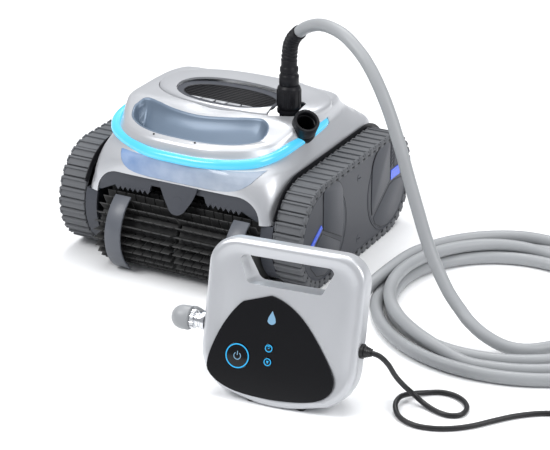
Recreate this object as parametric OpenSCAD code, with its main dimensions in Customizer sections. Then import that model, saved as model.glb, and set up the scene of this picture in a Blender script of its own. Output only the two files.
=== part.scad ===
// Tracked pool cleaning robot with its hose, control box and power cord.
// The robot's front (brush side) looks along -Y, +Z is up, all sizes in millimetres.

/* [Tracks] */
// Overall width over the two tracks
track_span = 400; // [340:10:480]
// Width of one track belt
belt_w = 44; // [36:1:50]
// Distance between the front and rear axles
wheelbase = 208; // [170:2:250]
// Radius over the track lugs, which is also the height of the axles
lug_tip_r = 80; // [70:1:96]
// Height of the lugs over the band
lug_h = 5.5; // [3:0.5:8]
// Thickness of the belt band
band_t = 2.5; // [2:0.5:4]
// Number of lugs around one half turn of a track
lugs_half_turn = 15; // [11:2:19]
// Number of lugs along one straight run of a track
lugs_run = 12; // [8:1:16]
// Diameter of the wheel axles and drive shafts
axle_d = 10; // [8:1:14]

/* [Body] */
// Gap between the body side and the inner edge of a track
side_gap = 1.5; // [1:0.5:4]
// Wall of the moulded shells
wall = 3; // [2:0.5:4]
// Height of the body's side edge over the track tops
fender_rise = 7; // [4:1:14]
// Height of the carrying deck over the side edge
deck_rise = 38; // [30:1:50]
// Height of the lid seat over the carrying deck
lid_rise = 18; // [12:1:26]
// Width of the carrying slot
slot_w = 204; // [150:2:210]
// Front to back size of the carrying slot
slot_l = 58; // [44:1:64]
// Depth of the carrying slot
slot_depth = 40; // [30:1:44]
// Half width of the lid
lid_hw = 138; // [110:1:146]
// Half length of the lid
lid_hl = 74; // [60:1:84]
// How far the lid opens
lid_open = 70; // [40:5:80]

/* [Brush] */
// Radius over the brush blades
brush_r = 56; // [46:1:60]
// Number of blade rows on the brush
blade_rows = 14; // [8:1:18]
// Diameter of the brush shaft
brush_shaft_d = 12; // [10:1:16]
// Width of a brush guard strap
strap_w = 26; // [16:1:32]

/* [Hose] */
// Diameter of the hose
hose_d = 18; // [14:1:20]
// Outer diameter of the union nut
nut_d = 36; // [30:1:42]
// Bore of the spray nozzle
nozzle_bore_d = 28; // [20:1:30]
// Wall of the spray nozzle
nozzle_wall = 5; // [3:0.5:6]
// Outer radius of the hose coil
hose_coil_r = 235; // [200:5:260]

/* [Control box] */
// Width of the control box
box_w = 214; // [180:2:260]
// Height of the control box
box_h = 212; // [180:2:250]
// Depth of its front rim
box_rim = 27; // [20:1:34]
// Depth of the whole control box at the bottom
box_depth = 72; // [60:1:90]
// Lean of the control box to the back
box_lean = 15; // [8:1:20]
// Diameter of the power key
power_key_d = 34; // [26:1:40]
// Diameter of the two small keys
mode_key_d = 12; // [9:0.5:16]
// Height of its low rubber feet
foot_h = 1.5; // [1:0.5:4]
// Travel of the keys
key_travel = 0.8; // [0.4:0.1:1.2]
// Diameter of the power cord
cord_d = 7; // [5:0.5:9]

/* [Fits] */
// Radial running clearance of a shaft in its bush
run_fit = 0.05; // [0.02:0.01:0.1]
// Gap between parts that move past each other
move_gap = 0.4; // [0.3:0.1:1]
// Gap around parts set into a recess
seat_gap = 0.2; // [0.1:0.1:0.5]

/* [Hidden] */
$fn = 48;

// Tracks: planes and radii that the rest is built from
out_x = track_span / 2;
in_x = out_x - belt_w;
body_x = in_x - side_gap;
band_r = lug_tip_r - lug_h;
inner_r = band_r - band_t;
axle_z = lug_tip_r;
front_y = -wheelbase / 2;
rear_y = wheelbase / 2;
lug_w = 9.5;
cover_r = inner_r - 1;
cover_t = 6;
wheel_w = belt_w - 2 * cover_t - 4;
wheel_x = in_x + 4;
wheel_r = inner_r - move_gap;

// Body levels
split_z = axle_z + 29;
edge_z = 2 * lug_tip_r + fender_rise;
deck_z = edge_z + deck_rise;
lid_z = deck_z + lid_rise;
floor_z = 16;
tub_x = body_x - wall - 1;
tub_front = front_y - 12;
tub_back = rear_y + 66;
nose_y = front_y - 77;
tail_y = rear_y + 70;
deck_front = nose_y + 13;
arch_x = body_x - 21;
arch_z = split_z + 37;
slot_c = [-6, deck_front + 27 + slot_l / 2 - 10];
lid_c = [6, 12];
hinge_y = lid_c[1] + lid_hl + 8;
hinge_z = lid_z - 8;
lid_seat = 7;
slot_r = slot_l / 2 - 3;
light_z = edge_z + 16;
light_h = 15;
light_t = 12;

// Intake flaps: pivot place, half spacing and width
flap_y = 28;
flap_z = floor_z + 8;
flap_w = 56;
flap_x = 46;

// Brush
brush_y = front_y - 53;
brush_z = brush_r + 1;
brush_x0 = -122;
brush_x1 = 132;
brush_mid = 8;
brush_bay_x = brush_x1 + 1.5;
strap_r = brush_r + 6;
// The scoop's legs end over the brush blades
leg_z = brush_z + brush_r;
strap_t = 3.5;

// Hose fittings
socket_xy = [97, -21];
socket_z = lid_z - 2;
nut_z = socket_z + 7;
nut_h = 34;
notch_r = nut_d / 2 + 3;
tail_lift = 19;
neck_top = 300;
jet_at = [131, -46, edge_z + 37];
jet_tilt = [25, 32];

// Control box placing
box_at = [308, -465, 1.5];
box_yaw = 6;
key_c = [-54, 60];
mode_c = [[-12, 77], [-12, 59]];
grip_v = box_h - 28;
panel_scale = box_w / 214;
gland_v = 92;
port_v = 94;
gland_l = 14;
elbow_d = 32;

// The origin is below the middle of the robot and control box
box_right = box_at[0] + (box_w / 2 + gland_l) * cos(box_yaw) - 3.2;
box_front = box_at[1] - 3.3;
home = [-(box_right - out_x) / 2, -(box_front + rear_y + lug_tip_r) / 2, 0];

// Colours
SILVER = "#c9cdd3";
GREY = "#6e757c";
DARK = "#3c4046";
BLACK = "#1b1d20";
STEEL = "#b9bcc0";
LIGHT = "#7fe3f7";
BLUE = "#1d3bd0";
HOSE = "#9b9fa3";
PALE = "#aebdcb";
PCB = "#1f6b45";
BRASS = "#b59a52";

function on_arc(c, r, a) = [c[0] + r * cos(a), c[1] + r * sin(a)];
function arc(c, r, a0, a1, n) = [for (i = [0:n]) on_arc(c, r, a0 + (a1 - a0) * i / n)];
function oval(c, hw, hl, power, n) = [for (i = [0:n - 1]) let (a = 360 * i / n)
    [c[0] + hw * sign(cos(a)) * pow(abs(cos(a)), 2 / power), c[1] + hl * sign(sin(a)) * pow(abs(sin(a)),
        2 / power)]];
// Half oval in front of y0, open to the back, used by the light bar and the deck
function bow(cx, hw, y0, y1, back, power, n) = concat([[cx + hw, back]],
    [for (i = [0:n]) let (a = -180 * i / n)
        [cx + hw * sign(cos(a)) * pow(abs(cos(a)), 2 / power), y0 + (y0 - y1) * -pow(abs(sin(a)),
            2 / power)]],
    [[cx - hw, back]]);
function stadium(r) = concat(arc([rear_y, axle_z], r, -90, 90, 24), arc([front_y, axle_z], r, 90, 270, 24));

module robot() translate(home) children();
// Draws on the right side and its mirror image on the left
module both() {
    children();
    mirror([1, 0, 0]) children();
}
module side(s) { if (s > 0) children(); else mirror([1, 0, 0]) children(); }
// Lays a drawing whose first axis is Y and second is Z at x0 and gives it the thickness t
module yz(x0, t) translate([x0, 0, 0]) rotate([90, 0, 90]) linear_extrude(t) children();
// Lays a drawing whose first axis is X and second is Z at y0, thickness t towards +Y
module xz(y0, t) translate([0, y0 + t, 0]) rotate([90, 0, 0]) linear_extrude(t) children();
module x_rod(x0, x1, y, z, d) translate([x0, y, z]) rotate([0, 90, 0]) cylinder(d = d, h = x1 - x0);
module rounded(w, h, r) hull() for (x = [-1, 1], y = [-1, 1]) translate([x * (w / 2 - r),
    y * (h / 2 - r)]) circle(r, $fn = 32);

// ---------- chassis ----------
module tub_profile() polygon([[tub_front, floor_z], [tub_back - 20, floor_z], [tub_back, floor_z + 34],
    [tub_back, split_z + 8], [tub_front, split_z + 8]]);

module intake_cut(grow) for (s = [-1, 1]) translate([s * flap_x, 10, 0])
    cube([58 + grow, 30 + grow, 3 * floor_z], center = true);

module brush_bay(grow) x_rod(-brush_bay_x - grow, brush_bay_x + grow, brush_y, brush_z,
    2 * (brush_r + 5 + grow));

module chassis_tub() robot() color(DARK) difference() {
    yz(-tub_x, 2 * tub_x) tub_profile();
    difference() {
        yz(-tub_x + wall, 2 * (tub_x - wall)) polygon([[tub_front + wall, floor_z + wall],
            [tub_back - 20, floor_z + wall],
            [tub_back - wall, floor_z + 34], [tub_back - wall, split_z + 40], [tub_front + wall,
                split_z + 40]]);
        brush_bay(wall);
    }
    brush_bay(0);
    translate([0, 10, floor_z]) cube([190, 80, 3 * wall], center = true);
    for (y = [front_y, rear_y]) x_rod(-tub_x - 1, tub_x + 1, y, axle_z, axle_d + 8);
}

module belly_plate() robot() color(DARK) {
    difference() {
        translate([-93, -28, floor_z - 1]) cube([186, 76, wall]);
        intake_cut(0);
    }
    for (c = [-flap_x, flap_x], s = [-1, 1]) belly_ear(c + s * (flap_w / 2 + 2) - 1.5);
}

// Carries the pivots of both intake flaps
module belly_ear(x) difference() {
    hull() {
        x_rod(x, x + 3, flap_y, flap_z, 8);
        translate([x, flap_y - 4, floor_z]) cube([3, 8, 1]);
    }
    x_rod(x - 1, x + 4, flap_y, flap_z, 4 + 2 * run_fit);
}

// ---------- silver upper shell ----------
module side_slice(grow) polygon(concat(
    arc([front_y, axle_z], 79 - grow, 158, 96, 8),
    [[front_y + 30, edge_z - grow], [rear_y, edge_z - grow]],
    arc([rear_y, axle_z], 79 - grow, 80, 22, 6)));

module deck_slice(z, grow, front, hw) translate([0, 0, z])
    linear_extrude(0.5) polygon(bow(0, hw - grow, -40, front + grow, tail_y - 14 - grow, 2.4, 20));

// Outer form of the body; grow shrinks it to make the hollow inside
module body_form(grow) {
    hull() {
        for (x = [-body_x + grow, body_x - grow - 1]) yz(x, 1) side_slice(grow);
        for (x = [-body_x + 26, body_x - 27]) yz(x, 1) polygon([[nose_y + grow, split_z], [nose_y + grow,
            arch_z + 8],
            [nose_y + 8 + grow, edge_z + 6 - grow], [tail_y - 4 - grow, edge_z - grow], [tail_y - grow,
                split_z]]);
    }
    hull() {
        deck_slice(edge_z - 4, grow, nose_y + 12, body_x - 8);
        deck_slice(deck_z - 8 - grow, grow, deck_front, body_x - 12);
        translate([0, 0, lid_z - 2 - grow]) linear_extrude(0.5) polygon(oval(lid_c, lid_hw - grow,
            lid_hl - grow, 2.4, 32));
        translate([0, 0, lid_z - 14 - grow]) linear_extrude(0.5) polygon(oval([0, 90],
            body_x - 14 - grow, 60 - grow, 3, 24));
    }
}

module slot_outline(grow) translate(slot_c) rounded(slot_w + 2 * grow, slot_l + 2 * grow, slot_r + grow);
module arch_outline(grow) polygon(concat([[-arch_x - grow, 0]], [for (p = arc([-arch_x + 36,
    arch_z - 36], 36 + grow, 180, 90, 8)) p],
    [for (p = arc([arch_x - 36, arch_z - 36], 36 + grow, 90, 0, 8)) p], [[arch_x + grow, 0]]));
module light_ring(inset, t, h, z) translate([0, 0, z]) linear_extrude(h) difference() {
    polygon(bow(-3, body_x - 12 - inset, -40, nose_y + 1 + inset, 0, 2.5, 28));
    polygon(bow(-3, body_x - 12 - inset - t, -40, nose_y + 1 + inset + t, 1, 2.5, 28));
}
module window_outline(grow) polygon(concat(
    arc([-86, arch_z + 21], 12 + grow, 180, 270, 6), arc([96, arch_z + 21], 12 + grow, 270, 360, 6),
    [[112 + grow, light_z - 9 + grow], [-102 - grow, light_z - 9 + grow]]));

module hinge_ears() for (x = [-40, 40], s = [-1, 1]) difference() {
    translate([lid_c[0] + x + s * 16.5 - 3, hinge_y - 5, hinge_z - 16]) cube([6, 10, 16]);
    x_rod(lid_c[0] + x - 30, lid_c[0] + x + 30, hinge_y, hinge_z, 5);
}

module hinge_pocket(grow) translate([lid_c[0] - 64 - grow, hinge_y - 16 - grow, hinge_z - 7 - grow])
    cube([128 + 2 * grow, 24 + 2 * grow, 30]);

module upper_shell() robot() color(SILVER) union() {
    hinge_ears();
    difference() {
        union() {
            open_shell();
            intersection() {
                body_form(0);
                hinge_pocket(4);
                translate([-body_x, hinge_y - 20, 0]) cube([2 * body_x, 60, lid_z - lid_seat]);
            }
        }
        hinge_pocket(0);
    }
}
module open_shell() difference() {
    body_form(0);
    intersection() {
        body_form(wall);
        translate([-body_x, nose_y, 0]) cube([2 * body_x, tail_y - nose_y, lid_z - lid_seat - wall]);
    }
    translate([-body_x - 5, nose_y - 5, 0]) cube([2 * body_x + 10, tail_y - nose_y + 10, split_z]);
    xz(nose_y - 10, 70) arch_outline(0);
    xz(tail_y - 60, 80) arch_outline(0);
    tray_form(0, deck_z - slot_depth, 70);
    tray_form(wall + seat_gap, deck_z - slot_depth - wall - 1, 29 + seat_gap);
    light_ring(-2, light_t + 2 + seat_gap, light_h + 2 * seat_gap, light_z - light_h / 2 - seat_gap);
    xz(nose_y - 2, 5) window_outline(seat_gap);
    translate([0, 0, lid_z - lid_seat]) linear_extrude(30) polygon(oval(lid_c, lid_hw - 2, lid_hl - 2,
        2.4, 48));
    translate([0, 0, lid_z - 40]) linear_extrude(50) polygon(oval([lid_c[0], lid_c[1] + 6], lid_hw - 42,
        lid_hl - 18, 2.4, 40));
    translate([socket_xy[0], socket_xy[1], lid_z - 60]) cylinder(d = nut_d - 8 + 2 * seat_gap, h = 80);
    jet_hole();
}

module tray_form(grow, z0, h) translate([0, 0, z0]) linear_extrude(h) slot_outline(grow);
module handle_tray() robot() color(PALE) difference() {
    tray_form(wall, deck_z - slot_depth - wall, 28);
    tray_form(0, deck_z - slot_depth, 60);
    light_ring(-2, light_t + 2 + seat_gap, light_h + 2 * seat_gap, light_z - light_h / 2 - seat_gap);
}

module front_window() robot() color(PALE) xz(nose_y + 0.4, 2.4) window_outline(0);
module light_bar() robot() color(LIGHT) difference() {
    light_ring(0, light_t, light_h, light_z - light_h / 2);
    jet_hole();
}

// ---------- scoop, guards and brush ----------
module teeth_row(x0, x1, z0, z1, n) for (i = [0:n - 1]) {
    xa = x0 + (x1 - x0) * i / n;
    xb = x0 + (x1 - x0) * (i + 1) / n;
    za = z0 + (z1 - z0) * i / n;
    polygon([[xa, za + 8], [xb, za + 8], [xb, za + 1], [(xa + xb) / 2, za - 5], [xa, za + 1]]);
}

module front_scoop() robot() color(GREY) {
    xz(nose_y + 4, 5) intersection() {
        arch_outline(-0.6);
        union() {
            translate([-arch_x, arch_z - 12]) square([2 * arch_x, 12]);
            for (s = [-1, 1]) polygon([[s * (arch_x + 1), leg_z], [s * (arch_x + 1), arch_z], [s * 40,
                arch_z],
                [s * 46, arch_z - 20], [s * 100, arch_z - 20], [s * (arch_x - 6), leg_z]]);
            teeth_row(-104, -46, arch_z - 24, arch_z - 22, 7);
            teeth_row(46, 104, arch_z - 22, arch_z - 24, 7);
        }
    }
    // Roof over the brush, back to the chassis
    translate([-arch_x + 20, nose_y + 9, arch_z - 4]) cube([2 * arch_x - 40, tub_front - nose_y - 9.2, 3]);
}

module scoop_badge() robot() color(GREY) difference() {
    xz(nose_y + 0.6, 3.2) polygon(concat([[-30, arch_z - 2]], arc([0, arch_z - 24], 11.5, 200, 340, 12),
        [[30, arch_z - 2]]));
    translate([0, nose_y + 1.8, arch_z - 18]) rotate([90, 0, 0]) difference() {
        cylinder(d = 16, h = 4);
        cylinder(d = 13, h = 4);
    }
}

module brush_guards() robot() color(GREY) for (x = [-97, 98])
    yz(x, strap_w) polygon(concat(arc([brush_y, brush_z], strap_r + strap_t, 118, 236, 16), arc([brush_y,
        brush_z], strap_r, 236, 118, 16)));

module side_guards() robot() color(GREY) both() difference() {
    union() {
        yz(body_x - 3.5, 3.5) polygon(concat([[tub_front, split_z - 0.3]], [for (p = arc([front_y,
            axle_z], 77, 158, 232, 12)) p], [[tub_front, floor_z]]));
        yz(body_x - 19, 19) polygon(concat(arc([front_y, axle_z], 77, 158, 232, 12), arc([front_y,
            axle_z], 73, 232, 158, 12)));
        x_rod(body_x - 16, body_x - 1, brush_y, brush_z, brush_shaft_d + 12);
    }
    x_rod(body_x - 20, body_x - 3, brush_y, brush_z, brush_shaft_d + 4);
    x_rod(body_x - 30, body_x + 1, front_y, axle_z, axle_d + 9);
}

module blade_ring(x0, x1) {
    difference() {
        x_rod(x0, x1, 0, 0, 2 * brush_r - 34);
        x_rod(x0 - 1, x1 + 1, 0, 0, brush_shaft_d);
    }
    for (i = [0:blade_rows - 1]) rotate([360 * i / blade_rows, 0, 0])
        difference() {
            translate([x0 + 0.7, -1.2, brush_r - 20]) cube([x1 - x0 - 1.4, 2.4, 20]);
            for (k = [1:5]) translate([x0 + (x1 - x0) * k / 6 - 0.8, -3, brush_r - 9]) cube([1.6, 6, 12]);
        }
}
module on_brush() robot() translate([0, brush_y, brush_z]) children();
module brush_left() on_brush() color(BLACK) blade_ring(brush_x0, brush_mid - 2);
module brush_right() on_brush() color(BLACK) blade_ring(brush_mid + 2, brush_x1);
module brush_shaft() on_brush() color(STEEL) x_rod(-body_x + 4.5, body_x - 4.5, 0, 0, brush_shaft_d);

// ---------- tracks ----------
// The four corners of one lug whose middle is at c and whose outward direction is a
function lug_at(c, a) = [for (q = [[lug_w / 2, 0], [lug_w / 2 - 0.8, lug_h], [0.8 - lug_w / 2, lug_h],
    [-lug_w / 2, 0]])
    c + q[1] * [cos(a), sin(a)] + q[0] * [sin(a), -cos(a)]];
function run_share(i) = wheelbase * ((i + 0.5) / lugs_run - 0.5);
function half_turn(y, a0) = [for (i = [0:lugs_half_turn - 1]) let (a = a0 + 180 * (i + 0.5)
    / lugs_half_turn)
    for (q = lug_at(on_arc([y, axle_z], band_r, a), a)) q];
function straight_run(s) = [for (i = [0:lugs_run - 1]) for (q = lug_at([s * run_share(i),
    axle_z - s * band_r], -90 * s)) q];
module belt_outline() difference() {
    polygon(concat(half_turn(rear_y, -90), straight_run(-1), half_turn(front_y, 90), straight_run(1)));
    polygon(stadium(inner_r));
}
module track_belt(s) robot() color(DARK) side(s) yz(in_x, belt_w) belt_outline();
module track_belt_left() track_belt(-1);
module track_belt_right() track_belt(1);

module cover_outline(r) hull() for (y = [front_y, rear_y]) translate([y, axle_z]) circle(r, $fn = 64);
module side_cover(s) robot() color(GREY) side(s) difference() {
    union() {
        yz(out_x - cover_t, cover_t - 1.5) polygon(stadium(cover_r));
        // Posts that carry the cover on the chassis, clear of both wheels
        for (z = [axle_z - 30, axle_z + 18]) x_rod(tub_x, out_x - cover_t, 0, z, 20);
        for (y = [front_y, rear_y]) x_rod(out_x - cover_t - 2, out_x - 1.5, y, axle_z, axle_d + 10);
    }
    for (y = [front_y, rear_y]) {
        x_rod(out_x - cover_t - 4, out_x - 3.5, y, axle_z, y == front_y ? axle_d + 5 : axle_d);
        x_rod(out_x - 2.4, out_x, y, axle_z, 2 * (cover_r - 1) + 2 * seat_gap);
    }
    for (z = [axle_z - 50, axle_z + 46]) x_rod(out_x - 3, out_x, 6, z, 12 + 2 * seat_gap);
}
module side_cover_left() side_cover(-1);
module side_cover_right() side_cover(1);

module hub_disc(c) difference() {
    x_rod(out_x - 2.4, out_x - 0.5, c, axle_z, 2 * (cover_r - 1));
    x_rod(out_x - 3, out_x, c, axle_z, 6);
}
module accent_front(grow) translate([front_y - 16, axle_z - 8]) rotate(-28) square([4 + grow, 34 + grow],
    center = true);
module accent_rear(grow) translate([rear_y + 22, axle_z + 12]) square([22 + grow, 12 + grow],
    center = true);
module front_hub_covers() robot() color(GREY) both() difference() {
    hub_disc(front_y);
    yz(out_x - 1.2, 2) accent_front(2 * seat_gap);
}
module rear_hub_covers() robot() color(GREY) both() difference() {
    hub_disc(rear_y);
    yz(out_x - 1.2, 2) accent_rear(2 * seat_gap);
}
module hub_accents() robot() color(BLUE) both() {
    yz(out_x - 1.2, 0.9) accent_front(0);
    yz(out_x - 1.2, 0.9) accent_rear(0);
}
module cover_screws() robot() color(DARK) both() for (z = [axle_z - 50, axle_z + 46]) difference() {
    x_rod(out_x - 3, out_x - 1.2, 6, z, 12);
    translate([out_x - 2, 6, z]) cube([3, 8, 1.6], center = true);
}

module wheel(y, s, bore) robot() color(BLACK) side(s) difference() {
    union() {
        difference() {
            x_rod(wheel_x, wheel_x + wheel_w, y, axle_z, 2 * wheel_r);
            x_rod(wheel_x - 1, wheel_x + wheel_w + 1, y, axle_z, 2 * wheel_r - 14);
        }
        x_rod(wheel_x, wheel_x + wheel_w, y, axle_z, axle_d + 14);
        for (a = [0:60:179]) translate([wheel_x + wheel_w / 2, y, axle_z]) rotate([a, 0, 0])
            cube([wheel_w - 10, 9, 2 * wheel_r - 10], center = true);
    }
    x_rod(wheel_x - 2, wheel_x + wheel_w + 2, y, axle_z, bore);
    // Treads that the belt's inner face rolls over
    for (i = [0:23]) translate([wheel_x + wheel_w / 2, y, axle_z]) rotate([i * 15, 0, 0]) translate([0,
        0, wheel_r])
        cube([wheel_w + 2, 4, 3], center = true);
}
module front_wheel_left() wheel(front_y, -1, axle_d);
module front_wheel_right() wheel(front_y, 1, axle_d);
module rear_wheel_left() wheel(rear_y, -1, axle_d + 2 * run_fit);
module rear_wheel_right() wheel(rear_y, 1, axle_d + 2 * run_fit);
module drive_shaft(s) robot() color(STEEL) side(s) x_rod(gear_x + 1, out_x - 4.5, front_y, axle_z, axle_d);
module drive_shaft_left() drive_shaft(-1);
module drive_shaft_right() drive_shaft(1);
module rear_axles() robot() color(STEEL) both() x_rod(tub_x - 14, out_x - 3.6, rear_y, axle_z, axle_d);

// Bushes: drive shafts in the chassis and covers, brush shaft in the side guards
module bush(x0, x1, y, z, bore, od) difference() {
    x_rod(x0, x1, y, z, od);
    x_rod(x0 - 1, x1 + 1, y, z, bore);
}
module shaft_bushes() robot() color(BRASS) both() {
    bush(tub_x - wall, tub_x + 2, front_y, axle_z, axle_d + 2 * run_fit, axle_d + 8);
    bush(out_x - cover_t - 1, out_x - 3.6, front_y, axle_z, axle_d + 2 * run_fit, axle_d + 5);
    bush(body_x - 14, body_x - 4, brush_y, brush_z, brush_shaft_d + 2 * run_fit, brush_shaft_d + 4);
    bush(tub_x - wall - 1, tub_x + 1, rear_y, axle_z, axle_d, axle_d + 8);
}

// ---------- drive, pump and filter ----------
gear_t = 9;
gear_x = tub_x - wall - 0.5 - gear_t;
module drive_motors() robot() color(STEEL) both() difference() {
    union() {
        x_rod(tub_x - 84, gear_x, front_y + 46, axle_z, 42);
        translate([gear_x, front_y - 8, axle_z - 24]) cube([gear_t, 78, 48]);
    }
    x_rod(gear_x - 1, tub_x, front_y, axle_z, axle_d + 2 * run_fit);
}

pump_c = [4, 66];
module pump_motor() robot() color(BLACK) difference() {
    union() {
        translate([pump_c[0], pump_c[1], floor_z + wall]) cylinder(d = 56, h = 78);
        translate([pump_c[0], pump_c[1], floor_z + wall + 78]) cylinder(d = 30, h = 6);
    }
    translate([pump_c[0], pump_c[1], floor_z + wall + 58]) cylinder(d = 8 + 2 * run_fit, h = 40);
}
module impeller() robot() color(GREY) translate([pump_c[0], pump_c[1], 0]) {
    base = floor_z + wall + 84 + 2;
    translate([0, 0, floor_z + wall + 60]) cylinder(d = 8, h = 40);
    translate([0, 0, base]) cylinder(d = 22, h = 22);
    for (i = [0:4]) rotate(i * 72) translate([8, 0, base + 4]) rotate([35, 0, 0]) cube([24, 2.4, 16]);
}

basket_z = flap_z + 40;
basket_h = 84;
module filter_basket() robot() color(PALE) difference() {
    translate([lid_c[0] - 88, -30, basket_z]) cube([176, 60, basket_h]);
    translate([lid_c[0] - 85, -27, basket_z + 3]) cube([170, 54, basket_h]);
    for (x = [-60:30:60]) translate([lid_c[0] + x - 11, -40, basket_z + 12]) cube([22, 90, basket_h - 30]);
    for (x = [-46, 46]) translate([x - 22, -16, basket_z - 5]) cube([44, 30, 20]);
}

module intake_flap(s) robot() color(BLACK) union() {
    translate([s * flap_x - flap_w / 2, flap_y - 35, flap_z - 4]) cube([flap_w, 35, 2]);
    translate([s * flap_x - flap_w / 2, flap_y - 4, flap_z - 4]) cube([flap_w, 4, 4]);
    x_rod(s * flap_x - flap_w / 2, s * flap_x + flap_w / 2, flap_y, flap_z, 7);
    x_rod(s * flap_x - flap_w / 2 - 3.4, s * flap_x + flap_w / 2 + 3.4, flap_y, flap_z, 4);
}
module intake_flap_left() intake_flap(-1);
module intake_flap_right() intake_flap(1);

// ---------- lid and grille ----------
grille_c = [-2, -19];
grille_hw = 74;
grille_hl = 34;
dish_z = lid_z + 3.5;
module lid() robot() color(SILVER) difference() {
    union() {
        hull() {
            translate([0, 0, lid_z - 6]) linear_extrude(2) polygon(oval(lid_c, lid_hw - 2 - 0.8,
                lid_hl - 2 - 1.6, 2.4, 40));
            translate([0, 0, lid_z + 1]) linear_extrude(1) polygon(oval(lid_c, lid_hw - 8, lid_hl - 7,
                2.4, 40));
            translate([0, 0, lid_z + 9]) linear_extrude(1) polygon(oval([lid_c[0], lid_c[1] + 32],
                lid_hw - 50, lid_hl - 50, 2.4, 32));
        }
        for (x = [-40, 40]) translate([lid_c[0] + x - 12, hinge_y - 14, hinge_z - 1]) cube([24, 12, 6]);
        for (x = [-40, 40]) x_rod(lid_c[0] + x - 12, lid_c[0] + x + 12, hinge_y, hinge_z, 10);
    }
    translate([0, 0, lid_z - 20]) linear_extrude(20) polygon(oval(lid_c, lid_hw - 10, lid_hl - 10, 2.4,
        40));
    translate([0, 0, lid_z - 10]) linear_extrude(30) polygon(oval(grille_c, grille_hw, grille_hl, 2.2, 40));
    translate([0, 0, dish_z]) linear_extrude(30) polygon(oval(grille_c + [0, 6], grille_hw + 14,
        grille_hl + 10, 2.2, 40));
    for (x = [-40, 40]) x_rod(lid_c[0] + x - 20, lid_c[0] + x + 20, hinge_y, hinge_z, 5 + 2 * run_fit);
    // Notch for the union nut, open to the front
    translate([socket_xy[0] - notch_r, -100, lid_z - 20]) cube([2 * notch_r,
        100 + socket_xy[1] + notch_r, 60]);
}
module outlet_grille() robot() color(BLACK) difference() {
    translate([0, 0, lid_z - 0.5]) linear_extrude(dish_z - lid_z + 2) polygon(oval(grille_c,
        grille_hw - seat_gap, grille_hl - seat_gap, 2.2, 40));
    for (i = [0:9]) translate([grille_c[0] - 60 + abs(i - 4.5) * 4, grille_c[1] - 27.6 + i * 5.8,
        lid_z - 2]) cube([120 - abs(i - 4.5) * 8, 3, 10]);
}
module lid_hinge_pins() robot() color(STEEL) for (x = [-40, 40]) x_rod(lid_c[0] + x - 20,
    lid_c[0] + x + 20, hinge_y, hinge_z, 5);

// ---------- hose fittings on the robot ----------
module at_socket() robot() translate([socket_xy[0], socket_xy[1], 0]) children();
module hose_socket() at_socket() color(BLACK) difference() {
    union() {
        translate([0, 0, socket_z - 20]) cylinder(d = nut_d - 8, h = nut_z - socket_z + 20 + tail_lift);
        translate([0, 0, socket_z]) cylinder(d = nut_d - 1, h = 4);
    }
    translate([0, 0, socket_z - 41]) cylinder(d = nut_d - 16, h = 90);
}
module union_nut() at_socket() color(BLACK) difference() {
    union() {
        translate([0, 0, nut_z]) cylinder(d = nut_d - 3, h = nut_h);
        for (i = [0:11]) rotate(i * 30) translate([nut_d / 2 - 3, -2, nut_z + 2]) cube([3, 4, nut_h - 8]);
    }
    translate([0, 0, nut_z - 1]) cylinder(d = nut_d - 8 + 2 * run_fit, h = nut_h - 5);
    translate([0, 0, nut_z]) cylinder(d = nut_d - 16 + 2 * run_fit, h = nut_h + 5);
}
// Neck and corrugated strain relief of the hose
module hose_tail() {
    at_socket() color(BLACK) union() {
        translate([0, 0, nut_z + tail_lift]) cylinder(d = nut_d - 9, h = 5);
        translate([0, 0, nut_z + tail_lift]) cylinder(d = nut_d - 16, h = nut_h);
        translate([0, 0, nut_z + nut_h + move_gap]) cylinder(d = nut_d - 9, h = 18);
        translate([0, 0, nut_z + nut_h + 18]) cylinder(d = nut_d - 11, h = 12);
        translate([0, 0, nut_z + nut_h + 29]) cylinder(d = nut_d - 13, h = neck_top - nut_z - nut_h - 29);
    }
    color(BLACK) tube(relief_route, 3, hose_d + 3, 12, [0, 1, 0]);
}
module jet_hole() jet_place() translate([0, 0, -34])
    cylinder(d = nozzle_bore_d + 2 * nozzle_wall + 2 * seat_gap, h = 90);
module jet_place() translate(jet_at) rotate([jet_tilt[0], jet_tilt[1], 0]) children();
module jet_nozzle() robot() color(BLACK) jet_place() difference() {
    translate([0, 0, -30]) cylinder(d = nozzle_bore_d + 2 * nozzle_wall, h = 62);
    translate([0, 0, -20]) cylinder(d = nozzle_bore_d, h = 60);
}

// ---------- control box ----------
// In the leaning frame u runs across, v up the face and +Y back from the face
module box_frame() robot() translate(box_at) rotate(box_yaw) rotate([-box_lean, 0, 0]) children();
module slab(y0, t) translate([0, y0 + t, 0]) rotate([90, 0, 0]) linear_extrude(t) children();
function face_points(g) = let (w = box_w / 2, top = 36, low = 62) concat(
    arc([w - top, box_h - top], top + g, 0, 90, 8), arc([-w + top, box_h - top], top + g, 90, 180, 8),
    arc([-w + low, low + 6], low + g, 180, 244, 8), arc([0, 176], 176 + g, 256, 284, 6), arc([w - low,
        low + 6], low + g, 296, 360, 8));
function grip_points(g) = concat(arc([56, grip_v], 8 + g, 10, 90, 5), arc([-56, grip_v], 8 + g, 90, 170, 5),
    arc([-46, grip_v - 20], 8 + g, 190, 270, 5), arc([46, grip_v - 20], 8 + g, 270, 350, 5));
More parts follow.
